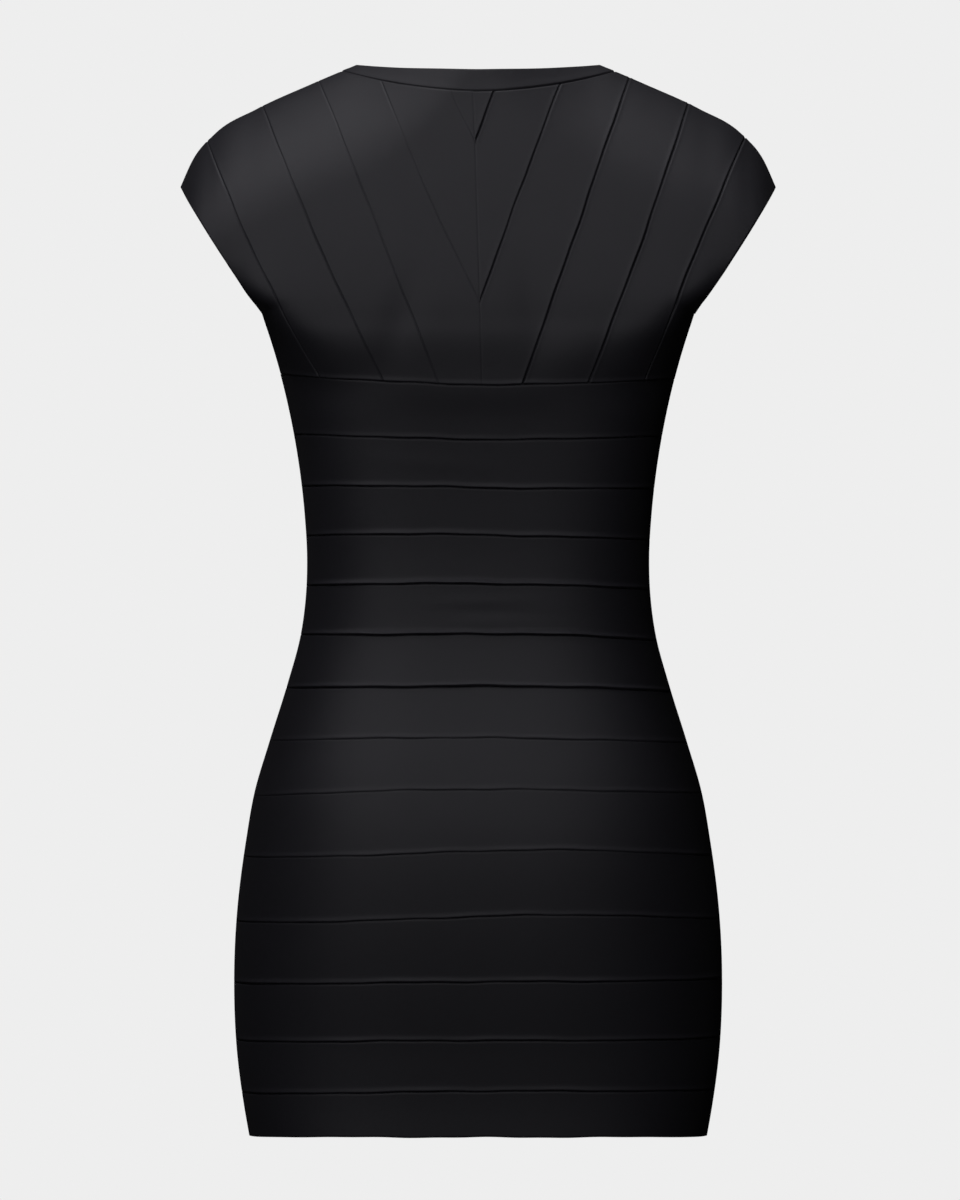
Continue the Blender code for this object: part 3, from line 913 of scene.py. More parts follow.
    def measure(self, inner: np.ndarray) -> None:
        """Works out the size that the strip is cut to before it is stretched on the wearer.

        Args:
            inner: the points of the inside, in rows and columns.
        """
        corner = inner[:-1, :-1]
        first, second = inner[1:, 1:] - corner, inner[1:, :-1] - inner[:-1, 1:]
        area = 0.5 * np.linalg.norm(np.cross(first, second), axis=-1).sum()
        length = np.linalg.norm(np.diff(inner, axis=0), axis=-1).sum(0).max()
        width = np.linalg.norm(np.diff(inner, axis=1), axis=-1).sum(1).max()
        self.cut = (width * MM, length * MM / KNIT.stretch, area * MM**2 / KNIT.stretch)

    def spread_out(self, inner: np.ndarray) -> np.ndarray:
        """The strip laid flat, in metres along it and across it, for the stitches' pattern.

        Args:
            inner: the points of the inside, in rows and columns.

        Returns:
            The place of each point on the flat strip.
        """
        down = np.linalg.norm(np.diff(inner, axis=0), axis=-1).mean(1)
        over = np.linalg.norm(np.diff(inner, axis=1), axis=-1)
        along = np.concatenate([[0], np.cumsum(down)])[:, None] * np.ones(inner.shape[1])
        across = np.concatenate([np.zeros((len(inner), 1)), np.cumsum(over, axis=1)], axis=1)
        return np.stack([along, across], axis=-1) * MM

    def shell(self, inner: np.ndarray, thickness: Field, pattern: np.ndarray) -> bpy.types.Object:
        """Shapes a grid to the inside of the knit and gives it its wall, outwards.

        Args:
            inner: the points of the inside, in rows and columns, in millimetres.
            thickness: the wall at each point.
            pattern: where each point lies in the stitches' pattern.

        Returns:
            The strip as one closed shell.
        """
        rows, columns = thickness.shape
        bpy.ops.object.select_all(action="DESELECT")
        bpy.ops.mesh.primitive_grid_add(
            x_subdivisions=columns - 1, y_subdivisions=rows - 1, size=1, calc_uvs=True
        )
        piece = bpy.context.active_object
        piece.name = piece.data.name = f"{self.node}_knit"
        mesh = piece.data
        places = np.empty(len(mesh.vertices) * 3, np.float32)
        mesh.vertices.foreach_get("co", places)
        places = places.reshape(-1, 3)
        column = np.rint((places[:, 0] + 0.5) * (columns - 1)).astype(int)
        row = np.rint((places[:, 1] + 0.5) * (rows - 1)).astype(int)
        if self.faces_in(inner):
            column = columns - 1 - column
        mesh.vertices.foreach_set("co", (inner[row, column] * MM).astype(np.float32).ravel())
        corners = np.empty(len(mesh.loops), np.int32)
        mesh.loops.foreach_get("vertex_index", corners)
        unwrapped = pattern[row, column][corners]
        mesh.uv_layers.active.data.foreach_set("uv", unwrapped.astype(np.float32).ravel())
        self.mark(mesh, (thickness[row, column] - self.form.wall) / (KNIT.fullest - self.form.wall))
        self.fill(mesh, thickness[row, column] / KNIT.fullest)
        piece.vertex_groups.new(name="fullness")

        bpy.ops.object.modifier_add(type="SOLIDIFY")
        wall = piece.modifiers[-1]
        wall.thickness = KNIT.fullest * MM
        wall.offset = 1.0
        wall.vertex_group = "fullness"
        bpy.ops.object.modifier_apply(modifier=wall.name)
        piece.vertex_groups.clear()
        bpy.ops.object.shade_smooth_by_angle(angle=KNIT.sharp)
        return piece

    def faces_in(self, inner: np.ndarray) -> bool:
        """Whether a grid laid along these points would show its back outside.

        Args:
            inner: the points of the inside, in rows and columns.

        Returns:
            True where the grid has to be laid the other way round.
        """
        middle = inner.shape[0] // 2, inner.shape[1] // 2
        across = inner[middle[0], middle[1] + 1] - inner[middle]
        along = inner[middle[0] + 1, middle[1]] - inner[middle]
        return float(np.cross(across, along)[1]) * self.face.sign < 0

    @staticmethod
    def mark(mesh: bpy.types.Mesh, lifted: Field) -> None:
        """Writes how far the wall is raised above a plain one, from 0 to 1, for the finish's painted
        highlight on raised edges.
        """
        layer = mesh.attributes.new(LIFTED, "FLOAT", "POINT")
        layer.data.foreach_set("value", np.clip(lifted, 0, 1).astype(np.float32))

    @staticmethod
    def fill(mesh: bpy.types.Mesh, fullness: Field) -> None:
        """Writes each point's share of the fullest wall, and merges the points of a strip's tip.

        Args:
            mesh: the strip's grid.
            fullness: a share for each of its points, in order.
        """
        shape = bmesh.new()
        shape.from_mesh(mesh)
        layer = shape.verts.layers.deform.verify()
        for vert, share in zip(shape.verts, fullness):
            vert[layer][0] = float(share)
        bmesh.ops.remove_doubles(shape, verts=shape.verts, dist=KNIT.same_point * MM)
        shape.to_mesh(mesh)
        shape.free()


# ---------------------------------------------------------------------------------------------
# The sub-assemblies
# ---------------------------------------------------------------------------------------------


@dataclass
class LevelBands:
    """The level bands of one face, from the foot of the yoke down to the hem."""

    face: Face
    pattern: Pattern
    drape: Drape

    def strips(self) -> Iterator[KnitStrip]:
        """Cuts the bands.

        Yields:
            Each band in turn, from the top.
        """
        pattern, face = self.pattern, self.face
        seams = pattern.level_seams
        for number, (upper, lower) in enumerate(zip(seams, seams[1:]), 1):
            edges = []
            for seam in (upper, lower):
                half = float(pattern.form.half_width(seam.height))
                edges.append(pattern.level_line(face, seam, -half, half))
            left = pattern.side_line(-1, edges[0][0][1], edges[1][0][1])
            right = pattern.side_line(1, edges[0][-1][1], edges[1][-1][1])
            hem = lower is seams[-1]
            borders = [
                Border(edges[0], Edge.TUCK, upper.strength),
                Border(edges[1], Edge.FOLD if hem else Edge.WELT, lower.strength, lower.welt),
                Border(left, Edge.SIDE),
                Border(right, Edge.SIDE),
            ]
            yield KnitStrip(
                f"{face.name}_band_{number:02d}",
                face,
                *edges,
                left,
                right,
                borders,
                pattern.form,
                self.drape,
            )


@dataclass
class Neckband:
    """The neckband of one face, from shoulder to shoulder."""

    face: Face
    pattern: Pattern
    drape: Drape

    def strips(self) -> Iterator[KnitStrip]:
        """Cuts the neckband.

        Yields:
            The neckband, which is one strip.
        """
        pattern, face = self.pattern, self.face
        edge = pattern.neck_edge(face)
        seam = pattern.neck_seam(face, -pattern.band_seam_half, pattern.band_seam_half)
        ends = [
            pattern.shoulder_seam(side * pattern.form.neck_half, side * pattern.band_seam_half)
            for side in (-1, 1)
        ]
        borders = [Border(edge, Edge.FOLD), Border(seam, Edge.BAND, sum(face.neck_pull) / 2)]
        borders += [Border(end, Edge.SHOULDER) for end in ends]
        yield KnitStrip(
            f"{face.name}_neckband", face, edge, seam, *ends, borders, pattern.form, self.drape
        )


class YokeLines(NamedTuple):
    """The lines that the strips of one half of a yoke are cut to."""

    slants: list[Line]  # the slanting seams, from the centre outwards
    centre: list[Line]  # the centre seam in three lengths, from the neckband down
    beside_neck: Line  # the neckband's seam, from the second slanting seam to the shoulder
    on_shoulder: Line  # the shoulder seam, from the neckband to the third slanting seam
    sleeve: Line  # the edge of the sleeve opening
    under: Line  # the side seam, from the underarm to the yoke's foot
    foot_stops: list[float]  # where the yoke's foot is divided, from the centre outwards


@dataclass
class ChevronYoke:
    """The slanting strips of one half of one face, between the centre seam and the sleeve's edge."""

    face: Face
    side: int
    pattern: Pattern
    drape: Drape

    def centre(self, height: float) -> Line:
        """The point of the centre seam at this height.

        Args:
            height: the height.

        Returns:
            The point, as (across, height).
        """
        face = self.face
        share = height / self.pattern.yoke_foot.height
        return np.array([face.centre_top + (face.centre_foot - face.centre_top) * share, height])

    def foot_point(self, across: float) -> Line:
        """The point of the yoke's foot at this distance from the centre."""
        height = self.pattern.seam_height(self.face, self.pattern.yoke_foot, across)
        return np.array([across, float(height)])

    def slants(self) -> list[Line]:
        """The slanting seams, from the centre outwards.

        Returns:
            Their lines. The first two end at the centre seam, and the others at the yoke's foot.
        """
        pattern, face = self.pattern, self.face
        points = [face.first_point, face.second_point]
        lines = []
        for number, seam in enumerate(pattern.slanting_seams(face, self.side)):
            if abs(seam.top) < pattern.band_seam_half:
                top = pattern.neck_seam(face, seam.top, seam.top)[0]
            else:
                top = pattern.shoulder_seam(seam.top, seam.top)[0]
            foot = self.centre(points[number]) if number < len(points) else self.foot_point(seam.foot)
            lines.append(pattern.slanting_line(top, foot, seam.bow))
        return lines

    def draw(self) -> YokeLines:
        """Draws every line of this half.

        Returns:
            The lines that its strips are cut to.
        """
        pattern, face, side = self.pattern, self.face, self.side
        seams = pattern.slanting_seams(face, side)
        centre_foot = self.foot_point(self.centre(pattern.yoke_foot.height)[0])
        stops = [
            pattern.neck_seam(face, face.centre_top, face.centre_top)[0],
            self.centre(face.first_point),
            self.centre(face.second_point),
            centre_foot,
        ]
        side_foot = self.foot_point(side * float(pattern.form.half_width(pattern.yoke_foot.height)))
        return YokeLines(
            self.slants(),
            [pattern.straight(upper, lower) for upper, lower in zip(stops, stops[1:])],
            pattern.neck_seam(face, seams[1].top, side * pattern.band_seam_half),
            pattern.shoulder_seam(side * pattern.band_seam_half, seams[2].top),
            pattern.sleeve_line(side),
            pattern.side_line(side, pattern.form.underarm, side_foot[1]),
            [centre_foot[0]] + [seam.foot for seam in seams[2:]] + [side_foot[0]],
        )

    def long_edges(self, lines: YokeLines) -> Iterator[tuple[Line, Line]]:
        """The two long edges of each strip.

        Args:
            lines: the lines of this half.

        Yields:
            The edge that lies nearer to the centre, and the other one.
        """
        slants = lines.slants
        third = np.concatenate([slants[1], lines.centre[2][1:]])
        if self.face is FRONT:  # its neck is deep, so this strip also runs up beside the neckband
            third = np.concatenate([lines.beside_neck[::-1], third[1:]])
        nears = [lines.centre[0], np.concatenate([slants[0], lines.centre[1][1:]]), third, *slants[2:]]
        fars = [*slants, np.concatenate([lines.sleeve, lines.under[1:]])]
        yield from zip(map(self.respaced, nears), fars)

    def ends(self, lines: YokeLines) -> Iterator[tuple[Line, Line]]:
        """The two ends of each strip.

        Args:
            lines: the lines of this half.

        Yields:
            The end at the neck or the shoulder, and the end at the centre seam or the yoke's foot.
        """
        pattern, face, side = self.pattern, self.face, self.side
        seams = pattern.slanting_seams(face, side)
        third = lines.on_shoulder
        if face is BACK:
            third = np.concatenate([lines.beside_neck, third[1:]])
        on_shoulder = [seam.top for seam in seams[2:]] + [side * pattern.form.cap_tip_half]
        tops = [
            pattern.neck_seam(face, face.centre_top, seams[0].top),
            pattern.neck_seam(face, seams[0].top, seams[1].top),
            third,
            *(pattern.shoulder_seam(a, b) for a, b in zip(on_shoulder, on_shoulder[1:])),
        ]
        points = [self.centre(face.first_point), self.centre(face.second_point)]
        feet = [np.repeat(point[None], pattern.fine + 1, axis=0) for point in points]
        stops = lines.foot_stops
        feet += [pattern.level_line(face, pattern.yoke_foot, a, b) for a, b in zip(stops, stops[1:])]
        yield from zip(map(self.respaced, tops), feet)

    def borders(self, lines: YokeLines, ends: list[tuple[Line, Line]]) -> list[list[Border]]:
        """How the edges of each strip are finished.

        Args:
            lines: the lines of this half.
            ends: the two ends of each strip.

        Returns:
            The borders of each strip.
        """
        face, foot_seam = self.face, self.pattern.yoke_foot
        seams = self.pattern.slanting_seams(face, self.side)
        grooves = [Border(line, Edge.GROOVE, seam.strength) for line, seam in zip(lines.slants, seams)]
        centre = [Border(line, Edge.FLAT) for line in lines.centre]
        tops, feet = zip(*ends)
        pull = face.neck_pull[self.side > 0]
        at_foot = [Border(foot, Edge.WELT, foot_seam.strength, foot_seam.welt) for foot in feet[2:]]
        beside_neck = Border(lines.beside_neck, Edge.TUCK, pull)
        on_shoulder = Border(lines.on_shoulder, Edge.SHOULDER)
        finished = [
            [centre[0], grooves[0], Border(tops[0], Edge.TUCK, pull)],
            [grooves[0], centre[1], grooves[1], Border(tops[1], Edge.TUCK, pull)],
            [grooves[1], centre[2], grooves[2], beside_neck, on_shoulder, at_foot[0]],
        ]
        outer = [[groove] for groove in grooves[3:]]
        outer.append([Border(lines.sleeve, Edge.FOLD), Border(lines.under, Edge.SIDE)])
        for near, far, top, foot in zip(grooves[2:], outer, tops[3:], at_foot[1:]):
            finished.append([near, *far, Border(top, Edge.SHOULDER), foot])
        return finished

    def strips(self) -> Iterator[KnitStrip]:
        """Cuts the half into its strips.

        Yields:
            Each strip in turn, from the centre outwards.
        """
        lines = self.draw()
        ends = list(self.ends(lines))
        name = f"{self.face.name}_yoke_{'right' if self.side > 0 else 'left'}"
        cuts = zip(self.long_edges(lines), ends, self.borders(lines, ends))
        for number, (long_edges, short_edges, borders) in enumerate(cuts, 1):
            yield KnitStrip(
                f"{name}_{number}",
                self.face,
                *long_edges,
                *short_edges,
                borders,
                self.pattern.form,
                self.drape,
            )

    def respaced(self, line: Line) -> Line:
        """A line that is joined from others, with its points spread evenly along the dress.

        Args:
            line: the line. One that is traced in one piece comes back as it is.

        Returns:
            The line, with two points for each span of a traced one.
        """
        if len(line) == self.pattern.fine + 1:
            return line
        return self.pattern.form.evenly(self.face, line, np.linspace(0, 1, 2 * self.pattern.fine + 1))


# ---------------------------------------------------------------------------------------------
# Finishes
# ---------------------------------------------------------------------------------------------


def socket(tree: bpy.types.NodeTree, kind: str, way: str, name: str, value: float | None = None) -> None:
    """Adds a socket to a shader node group.

    Args:
        tree: the group.
        kind: "Float", "Vector" or "Color".
        way: "INPUT" or "OUTPUT".
        name: the socket's name.
        value: its value where nothing is linked to it.
    """
    made = tree.interface.new_socket(name=name, in_out=way, socket_type=f"NodeSocket{kind}")
    if value is not None:
        made.default_value = value


class NodeBench:
    """Adds and joins the nodes of one tree."""

    def __init__(self, tree: bpy.types.NodeTree) -> None:
        """Works on this tree."""
        self.tree = tree

    def add(self, kind: str, inputs: dict[str, object] | None = None, **settings: object) -> bpy.types.Node:
        """Adds a node.

        Args:
            kind: its type.
            inputs: values for its inputs, by name.
            settings: values for its properties.

        Returns:
            The node.
        """
        node = self.tree.nodes.new(kind)
        for name, value in settings.items():
            setattr(node, name, value)
        self.set_inputs(node, inputs or {})
        return node

    @staticmethod
    def set_inputs(node: bpy.types.Node, inputs: dict[str, object]) -> None:
        """Gives a node's inputs their values, by name."""
        for name, value in inputs.items():
            node.inputs[name].default_value = value

    def math(self, operation: str, *values: object) -> bpy.types.NodeSocket:
        """Adds a maths node.

        Args:
            operation: what the node works out.
            values: its inputs, as sockets or numbers.

        Returns:
            The socket that gives the result.
        """
        node = self.add("ShaderNodeMath", operation=operation)
        for place, value in enumerate(values):
            if isinstance(value, bpy.types.NodeSocket):
                self.tree.links.new(value, node.inputs[place])
            else:
                node.inputs[place].default_value = value
        return node.outputs[0]

    def link(self, out: bpy.types.NodeSocket, into: bpy.types.NodeSocket) -> None:
        """Joins two sockets."""
        self.tree.links.new(out, into)


class ShaderGroups:
    """The shader node groups that several finishes share."""

    leg_slant = 1.4  # courses that the leg of a stitch climbs for each wale that it crosses
    leg_fullness = 0.6  # below 1 is fuller than a sine
    yarn_share = 0.55  # part of a stitch's height that comes and goes along its yarn
    broad = {"Scale": 22.0, "Detail": 3.0}  # patches of dye and tension
    fine = {"Scale": 260.0, "Detail": 2.0}
    fine_share = 0.4  # height of the fine noise, where the broad one's is 1
    mean_noise = 0.7  # what the two come to on average

    @classmethod
    def jersey(cls) -> bpy.types.NodeTree:
        """The face of a fine jersey: columns of V-shaped stitches along the strip.

        Returns:
            A group with a height for a bump, and a mask that is 1 between the stitches.
        """
        name = "jersey stitches"
        if name in bpy.data.node_groups:
            return bpy.data.node_groups[name]
        tree = bpy.data.node_groups.new(name, "ShaderNodeTree")
        socket(tree, "Vector", "INPUT", "Pattern")
        socket(tree, "Float", "INPUT", "Wales a metre", 900.0)
        socket(tree, "Float", "INPUT", "Courses a metre", 1100.0)
        socket(tree, "Float", "OUTPUT", "Height")
        socket(tree, "Float", "OUTPUT", "Gaps")
        bench = NodeBench(tree)
        given = bench.add("NodeGroupInput")
        result = bench.add("NodeGroupOutput")
        parts = bench.add("ShaderNodeSeparateXYZ")
        bench.link(given.outputs["Pattern"], parts.inputs[0])
        wale = bench.math("MULTIPLY", parts.outputs["Y"], given.outputs["Wales a metre"])
        course = bench.math("MULTIPLY", parts.outputs["X"], given.outputs["Courses a metre"])
        from_spine = bench.math("PINGPONG", wale, 0.5)
        leg = bench.math("SINE", bench.math("MULTIPLY", from_spine, 2 * math.pi))
        slanted = bench.math("ADD", course, bench.math("MULTIPLY", from_spine, cls.leg_slant))
        yarn = bench.math("SINE", bench.math("MULTIPLY", slanted, 2 * math.pi))
        yarn = bench.math("MULTIPLY_ADD", yarn, 0.5, 0.5)
        fullness = bench.math("POWER", leg, cls.leg_fullness)
        along_yarn = bench.math("MULTIPLY_ADD", yarn, cls.yarn_share, 1 - cls.yarn_share)
        height = bench.math("MULTIPLY", fullness, along_yarn)
        bench.link(height, result.inputs["Height"])
        bench.link(bench.math("SUBTRACT", 1.0, height), result.inputs["Gaps"])
        return tree

    @classmethod
    def unevenness(cls) -> bpy.types.NodeTree:
        """Soft unevenness of dye and of tension over the whole garment.

        Returns:
            A group with a shade around 1 and a height for a bump.
        """
        name = "uneven knit"
        if name in bpy.data.node_groups:
            return bpy.data.node_groups[name]
        tree = bpy.data.node_groups.new(name, "ShaderNodeTree")
        socket(tree, "Vector", "INPUT", "Place")
        socket(tree, "Float", "INPUT", "Amount", 0.1)
        socket(tree, "Float", "OUTPUT", "Shade")
        socket(tree, "Float", "OUTPUT", "Height")
        bench = NodeBench(tree)
        given = bench.add("NodeGroupInput")
        result = bench.add("NodeGroupOutput")
        broad = bench.add("ShaderNodeTexNoise", cls.broad)
        fine = bench.add("ShaderNodeTexNoise", cls.fine)
        for texture in (broad, fine):
            bench.link(given.outputs["Place"], texture.inputs["Vector"])
        both = bench.math("MULTIPLY_ADD", fine.outputs[0], cls.fine_share, broad.outputs[0])
        centred = bench.math("SUBTRACT", both, cls.mean_noise)
        shade = bench.math("MULTIPLY_ADD", centred, given.outputs["Amount"], 1.0)
        bench.link(shade, result.inputs["Shade"])
        bench.link(both, result.inputs["Height"])
        return tree


@dataclass(frozen=True)
class KnitFinish:
    """A black knit with a soft sheen, with painted shade between its stitches and a painted highlight on
    its raised edges.
    """

    name: str
    colour: tuple[float, float, float]
    roughness: float
    specular: float
    sheen: float
    painted_edge_highlight: float  # painted highlight: how much paler the raised edges of a strip are painted, standing in for the light that catches them
    stitch_depth: float  # metres
    wales: float  # columns of stitches, in a metre of width
    courses: float  # rows of stitches, in a metre of length
    sheen_roughness: float = 0.5
    uneven_dye: float = 0.22
    stitch_shade: float = 1.05  # colour on top of a stitch, where no painted shade falls
    gap_painted_shade: float = -0.25  # painted shade: what the gap between two stitches adds to it, darker where shade falls between them
    gap_roughness: float = 0.10
    stitch_polish: float = 0.04  # how much less rough the top of a stitch is
    stitch_bump: float = 0.6
    soft_bump: float = 0.25
    soft_depth: float = 0.0004  # metres

    def material(self) -> bpy.types.Material:
        """Builds the material.

        Returns:
            The material, which is made once.
        """
        made = bpy.data.materials.new(self.name)
        made.use_nodes = True
        bench = NodeBench(made.node_tree)
        shader = made.node_tree.nodes["Principled BSDF"]
        own = {
            "Specular IOR Level": self.specular,
            "Sheen Weight": self.sheen,
            "Sheen Roughness": self.sheen_roughness,
        }
        bench.set_inputs(shader, own)
        place = bench.add("ShaderNodeTexCoord")
        counts = {"Wales a metre": self.wales, "Courses a metre": self.courses}
        stitches = bench.add("ShaderNodeGroup", counts, node_tree=ShaderGroups.jersey())
        bench.link(place.outputs["UV"], stitches.inputs["Pattern"])
        dye = {"Amount": self.uneven_dye}
        uneven = bench.add("ShaderNodeGroup", dye, node_tree=ShaderGroups.unevenness())
        bench.link(place.outputs["Object"], uneven.inputs["Place"])

        gaps = stitches.outputs["Gaps"]
        # Painted shade: the base colour is darker in the gaps between the stitches, where shade falls.
        shade = bench.math("MULTIPLY_ADD", gaps, self.gap_painted_shade, self.stitch_shade)
        shade = bench.math("MULTIPLY", shade, uneven.outputs["Shade"])
        # Painted highlight: the raised edges of a strip are painted paler, standing in for the light that
        # catches them.
        lifted = bench.add("ShaderNodeAttribute", attribute_name=LIFTED)
        painted_highlight = bench.math("MULTIPLY_ADD", lifted.outputs["Fac"], self.painted_edge_highlight, 1.0)
        shade = bench.math("MULTIPLY", shade, painted_highlight)
        colour = bench.add("ShaderNodeVectorMath", operation="SCALE")
        colour.inputs[0].default_value = self.colour
        bench.link(shade, colour.inputs["Scale"])
        bench.link(colour.outputs[0], shader.inputs["Base Color"])
        on_top = self.roughness - self.stitch_polish
        rough = bench.math("MULTIPLY_ADD", gaps, self.gap_roughness, on_top)
        bench.link(rough, shader.inputs["Roughness"])

        soft = bench.add("ShaderNodeBump", {"Strength": self.soft_bump, "Distance": self.soft_depth})
        bench.link(uneven.outputs["Height"], soft.inputs["Height"])
        bump = bench.add("ShaderNodeBump", {"Strength": self.stitch_bump, "Distance": self.stitch_depth})
        bench.link(stitches.outputs["Height"], bump.inputs["Height"])
        bench.link(soft.outputs["Normal"], bump.inputs["Normal"])
        bench.link(bump.outputs["Normal"], shader.inputs["Normal"])
        return made


BANDAGE_KNIT = KnitFinish(
    name="bandage knit",
    colour=(0.0195, 0.0189, 0.0238),
    roughness=0.6,
    specular=0.5,
    sheen=0.01,
    painted_edge_highlight=0.7,
    stitch_depth=0.00006,
    wales=900,
    courses=1150,
)
NECKBAND_KNIT = KnitFinish(
    name="neckband knit",
    colour=(0.0215, 0.0208, 0.0258),
    roughness=0.6,
    specular=0.5,
    sheen=0.01,
    painted_edge_highlight=0.2,
    stitch_depth=0.00005,
    wales=1100,
    courses=1300,
)


# ---------------------------------------------------------------------------------------------
# The dress as a whole
# ---------------------------------------------------------------------------------------------


@dataclass
class BandageDress:
    """All the strips of the dress, with their finishes."""

    form: DressForm = field(default_factory=DressForm)
    drape: Drape = field(default_factory=Drape)

    def build(self) -> None:
        """Makes every strip, dresses it and lets it stand for its node."""
        pattern = Pattern(self.form)
        knit = BANDAGE_KNIT.material()
        neck_knit = NECKBAND_KNIT.material()
        for face in (BACK, FRONT):
            for strip in Neckband(face, pattern, self.drape).strips():
                self.place(strip, neck_knit, "neckband_knit")
            for side in (-1, 1):
                for strip in ChevronYoke(face, side, pattern, self.drape).strips():
                    self.place(strip, knit, "bandage_knit")
            for strip in LevelBands(face, pattern, self.drape).strips():
                self.place(strip, knit, "bandage_knit")

    def place(self, strip: KnitStrip, material: bpy.types.Material, slot: str) -> None:
        """Builds one strip, hides the frame's part that it stands for and hangs it on the root body.

        Args:
            strip: the strip.
            material: its finish.
            slot: not used.
        """
        piece = strip.build()
        piece.data.materials.append(material)
        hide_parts(strip.node)
        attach(piece, "root")
        width, length, area = strip.cut
        min(area, width * length)
        LOG.info(
            "%s: cut %.0f x %.0f mm, %.0f cm2, %d triangles",
            piece.name,
            width / MM,
            length / MM,
            area / CM2,
            sum(len(face.vertices) - 2 for face in piece.data.polygons),
        )


# ---------------------------------------------------------------------------------------------
# The studio
# ---------------------------------------------------------------------------------------------


@dataclass(frozen=True)
class SoftLight:
    """A square soft box that looks at the middle of the dress."""

    name: str
    turn: float  # degrees from straight behind the wearer, towards the wearer's right
    rise: float  # degrees above level
    watts: float
    lit: str = ""  # the side of the dress that it lights, or both where it names none
    size: float = 0.5
    tint: tuple[float, float, float] = (0.995, 0.985, 1.03)
    distance: float = 2.6
    aim: tuple[float, float, float] = (0.0, -0.05, -0.40)

    def build(self) -> None:
        """Adds the light."""
        turn, rise = math.radians(self.turn), math.radians(self.rise)
        level = math.cos(rise)
        way = np.array([level * math.sin(turn), -level * math.cos(turn), math.sin(rise)])
        bpy.ops.object.light_add(type="AREA", location=np.array(self.aim) + self.distance * way)
        lamp = bpy.context.active_object
        lamp.name = self.name
        lamp.data.shape = "SQUARE"
        lamp.data.size = self.size
        lamp.data.energy = self.watts
        lamp.data.color = self.tint
        aim_at(lamp, self.aim)
        if self.lit:
            lamp.light_linking.receiver_collection = self.lit_pieces()

    def lit_pieces(self) -> bpy.types.Collection:
        """The pieces that this light falls on, as a collection.

        Returns:
            The collection, which is made once for each side.
        """
        name = f"{self.lit} pieces"
        if name not in bpy.data.collections:
            pieces = bpy.data.collections.new(name)
            for piece in bpy.context.scene.objects:
                if piece.type == "MESH" and piece.name.startswith(f"{self.lit}_"):
                    pieces.objects.link(piece)
        return bpy.data.collections[name]


def grey(brightness: float) -> tuple[float, float, float, float]:
    """A solid grey of this brightness."""
    return (brightness, brightness, brightness, 1.0)


def aim_at(thing: bpy.types.Object, target: tuple[float, float, float]) -> None:
    """Turns a light or a camera so that it looks at a point.

    Args:
        thing: the light or the camera, at its place.
        target: the point.
    """
    way = np.array(target) - np.array(thing.location)
    level = math.hypot(way[0], way[1])
    thing.rotation_euler = (math.atan2(level, -way[2]), 0.0, math.atan2(-way[0], way[1]))


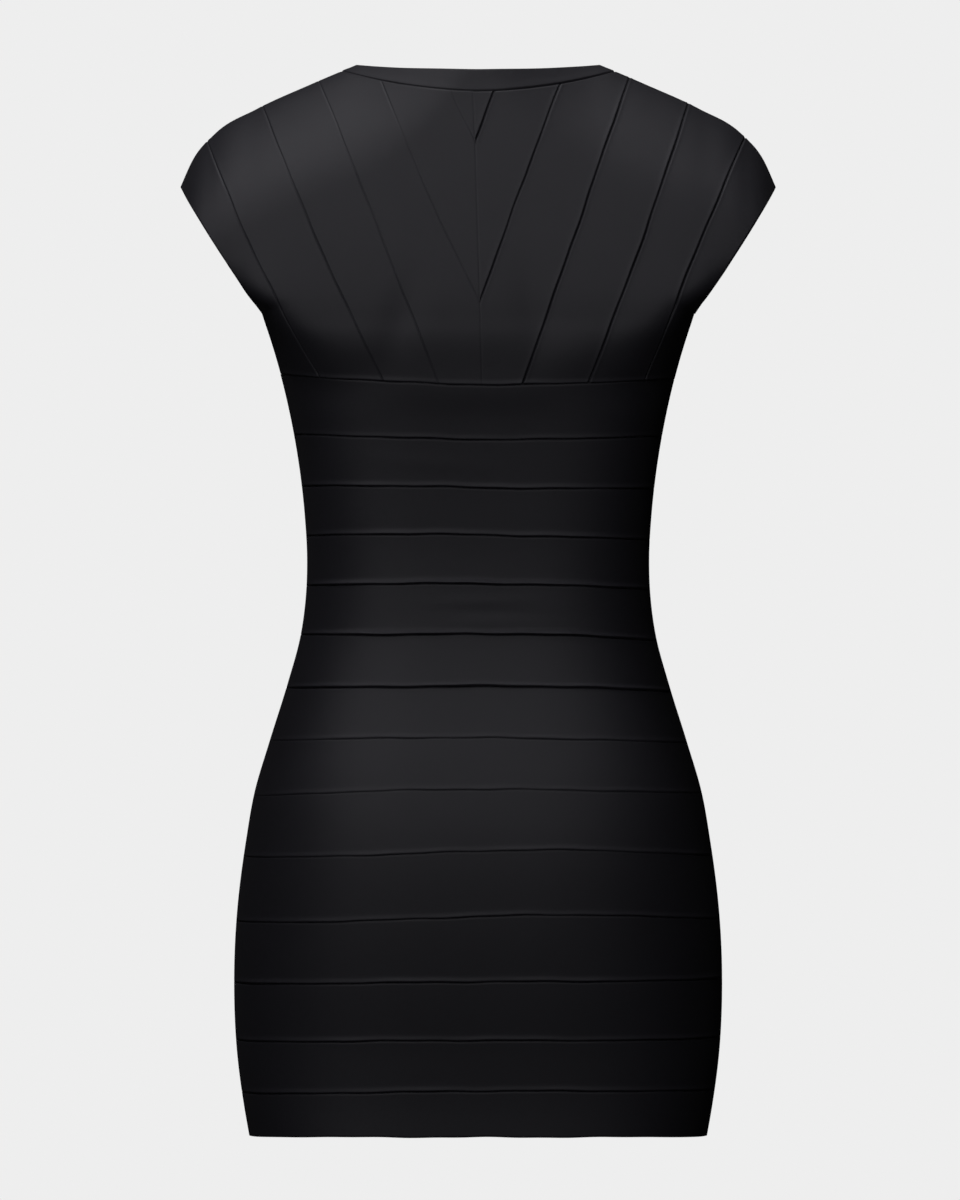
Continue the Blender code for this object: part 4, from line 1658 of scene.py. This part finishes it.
@dataclass(frozen=True)
class Studio:
    """A pale studio with soft light, and the camera behind the wearer."""

    distance: float = 7.5
    frame_height: float = 0.9  # what the camera takes in at the dress
    centre: tuple[float, float, float] = (0.0014, 0.0, -0.402)
    sensor: float = 36.0
    sight: float = 100.0  # how far the camera sees
    floor_height: float = -1.42
    floor_radius: float = 4.0
    floor_sides: int = 128
    floor_colour: float = 0.05  # dark, so that the floor throws little light on the dress
    backdrop: float = 0.855  # brightness behind the dress
    pale: float = 0.80  # brightness of the floor
    room: float = 0.004  # light that the room itself gives
    lights: tuple[SoftLight, ...] = (
        SoftLight("overhead left", -75, 86, 8.2),
        SoftLight("overhead right", 60, 86, 7.5),
        SoftLight("high far left", -65, 60, 5.9),
        SoftLight("high left", -30, 45, 3.4),
        SoftLight("middle", -8, 30, 8.2),
        SoftLight("level", -15, 0, 3.7),
        SoftLight("front high", 200, 42, 16.0, FRONT.name),
        SoftLight("front middle", 165, 14, 8.0, FRONT.name),
    )

    def build(self) -> None:
        """Sets up the camera, the lights, the floor and the room."""
        self.camera()
        for light in self.lights:
            light.build()
        self.floor()
        self.world()
        bpy.context.scene.view_settings.view_transform = "Standard"

    def camera(self) -> None:
        """Adds the camera, level and far away, with a long lens."""
        x, _, z = self.centre
        bpy.ops.object.camera_add(location=(x, -self.distance, z))
        camera = bpy.context.active_object
        camera.name = "camera"
        camera.data.sensor_fit = "VERTICAL"
        camera.data.sensor_height = self.sensor
        camera.data.lens = self.sensor * self.distance / self.frame_height
        camera.data.clip_end = self.sight
        aim_at(camera, self.centre)
        bpy.context.scene.camera = camera

    def floor(self) -> None:
        """Adds the plain pale floor, well below the hem."""
        bpy.ops.mesh.primitive_circle_add(
            vertices=self.floor_sides,
            radius=self.floor_radius,
            fill_type="NGON",
            location=(0, 0, self.floor_height),
        )
        floor = bpy.context.active_object
        floor.name = "floor"
        pale = bpy.data.materials.new("pale floor")
        pale.use_nodes = True
        tree = pale.node_tree
        bench = NodeBench(tree)
        shown = bench.add("ShaderNodeEmission", {"Color": grey(self.pale)})
        given = tree.nodes["Principled BSDF"]
        bench.set_inputs(given, {"Base Color": grey(self.floor_colour)})
        self.for_camera(bench, given, shown, tree.nodes["Material Output"])
        floor.data.materials.append(pale)

    def world(self) -> None:
        """Makes the room pale to look at, while it gives little light of its own."""
        world = bpy.data.worlds.new("studio")
        bpy.context.scene.world = world
        world.use_nodes = True
        tree = world.node_tree
        bench = NodeBench(tree)
        shown = bench.add("ShaderNodeBackground", {"Color": grey(self.backdrop)})
        given = tree.nodes["Background"]
        bench.set_inputs(given, {"Color": grey(self.room)})
        self.for_camera(bench, given, shown, tree.nodes["World Output"])

    @staticmethod
    def for_camera(
        bench: NodeBench, given: bpy.types.Node, shown: bpy.types.Node, result: bpy.types.Node
    ) -> None:
        """Shows one shader of the studio to the camera, while another lights the dress.

        Args:
            bench: the bench of the studio's material or world.
            given: the shader that lights the dress.
            shown: the shader that the camera sees.
            result: the output node.
        """
        path = bench.add("ShaderNodeLightPath")
        either = bench.add("ShaderNodeMixShader")
        bench.link(path.outputs["Is Camera Ray"], either.inputs["Fac"])
        bench.link(given.outputs[0], either.inputs[1])
        bench.link(shown.outputs[0], either.inputs[2])
        bench.link(either.outputs[0], result.inputs["Surface"])


def main() -> None:
    """Loads the frame, builds the dress over it, and sets up the studio."""
    logging.basicConfig(level=logging.INFO, format="%(name)s: %(message)s", stream=sys.stdout)
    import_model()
    BandageDress().build()
    Studio().build()


if __name__ == "__main__":
    main()
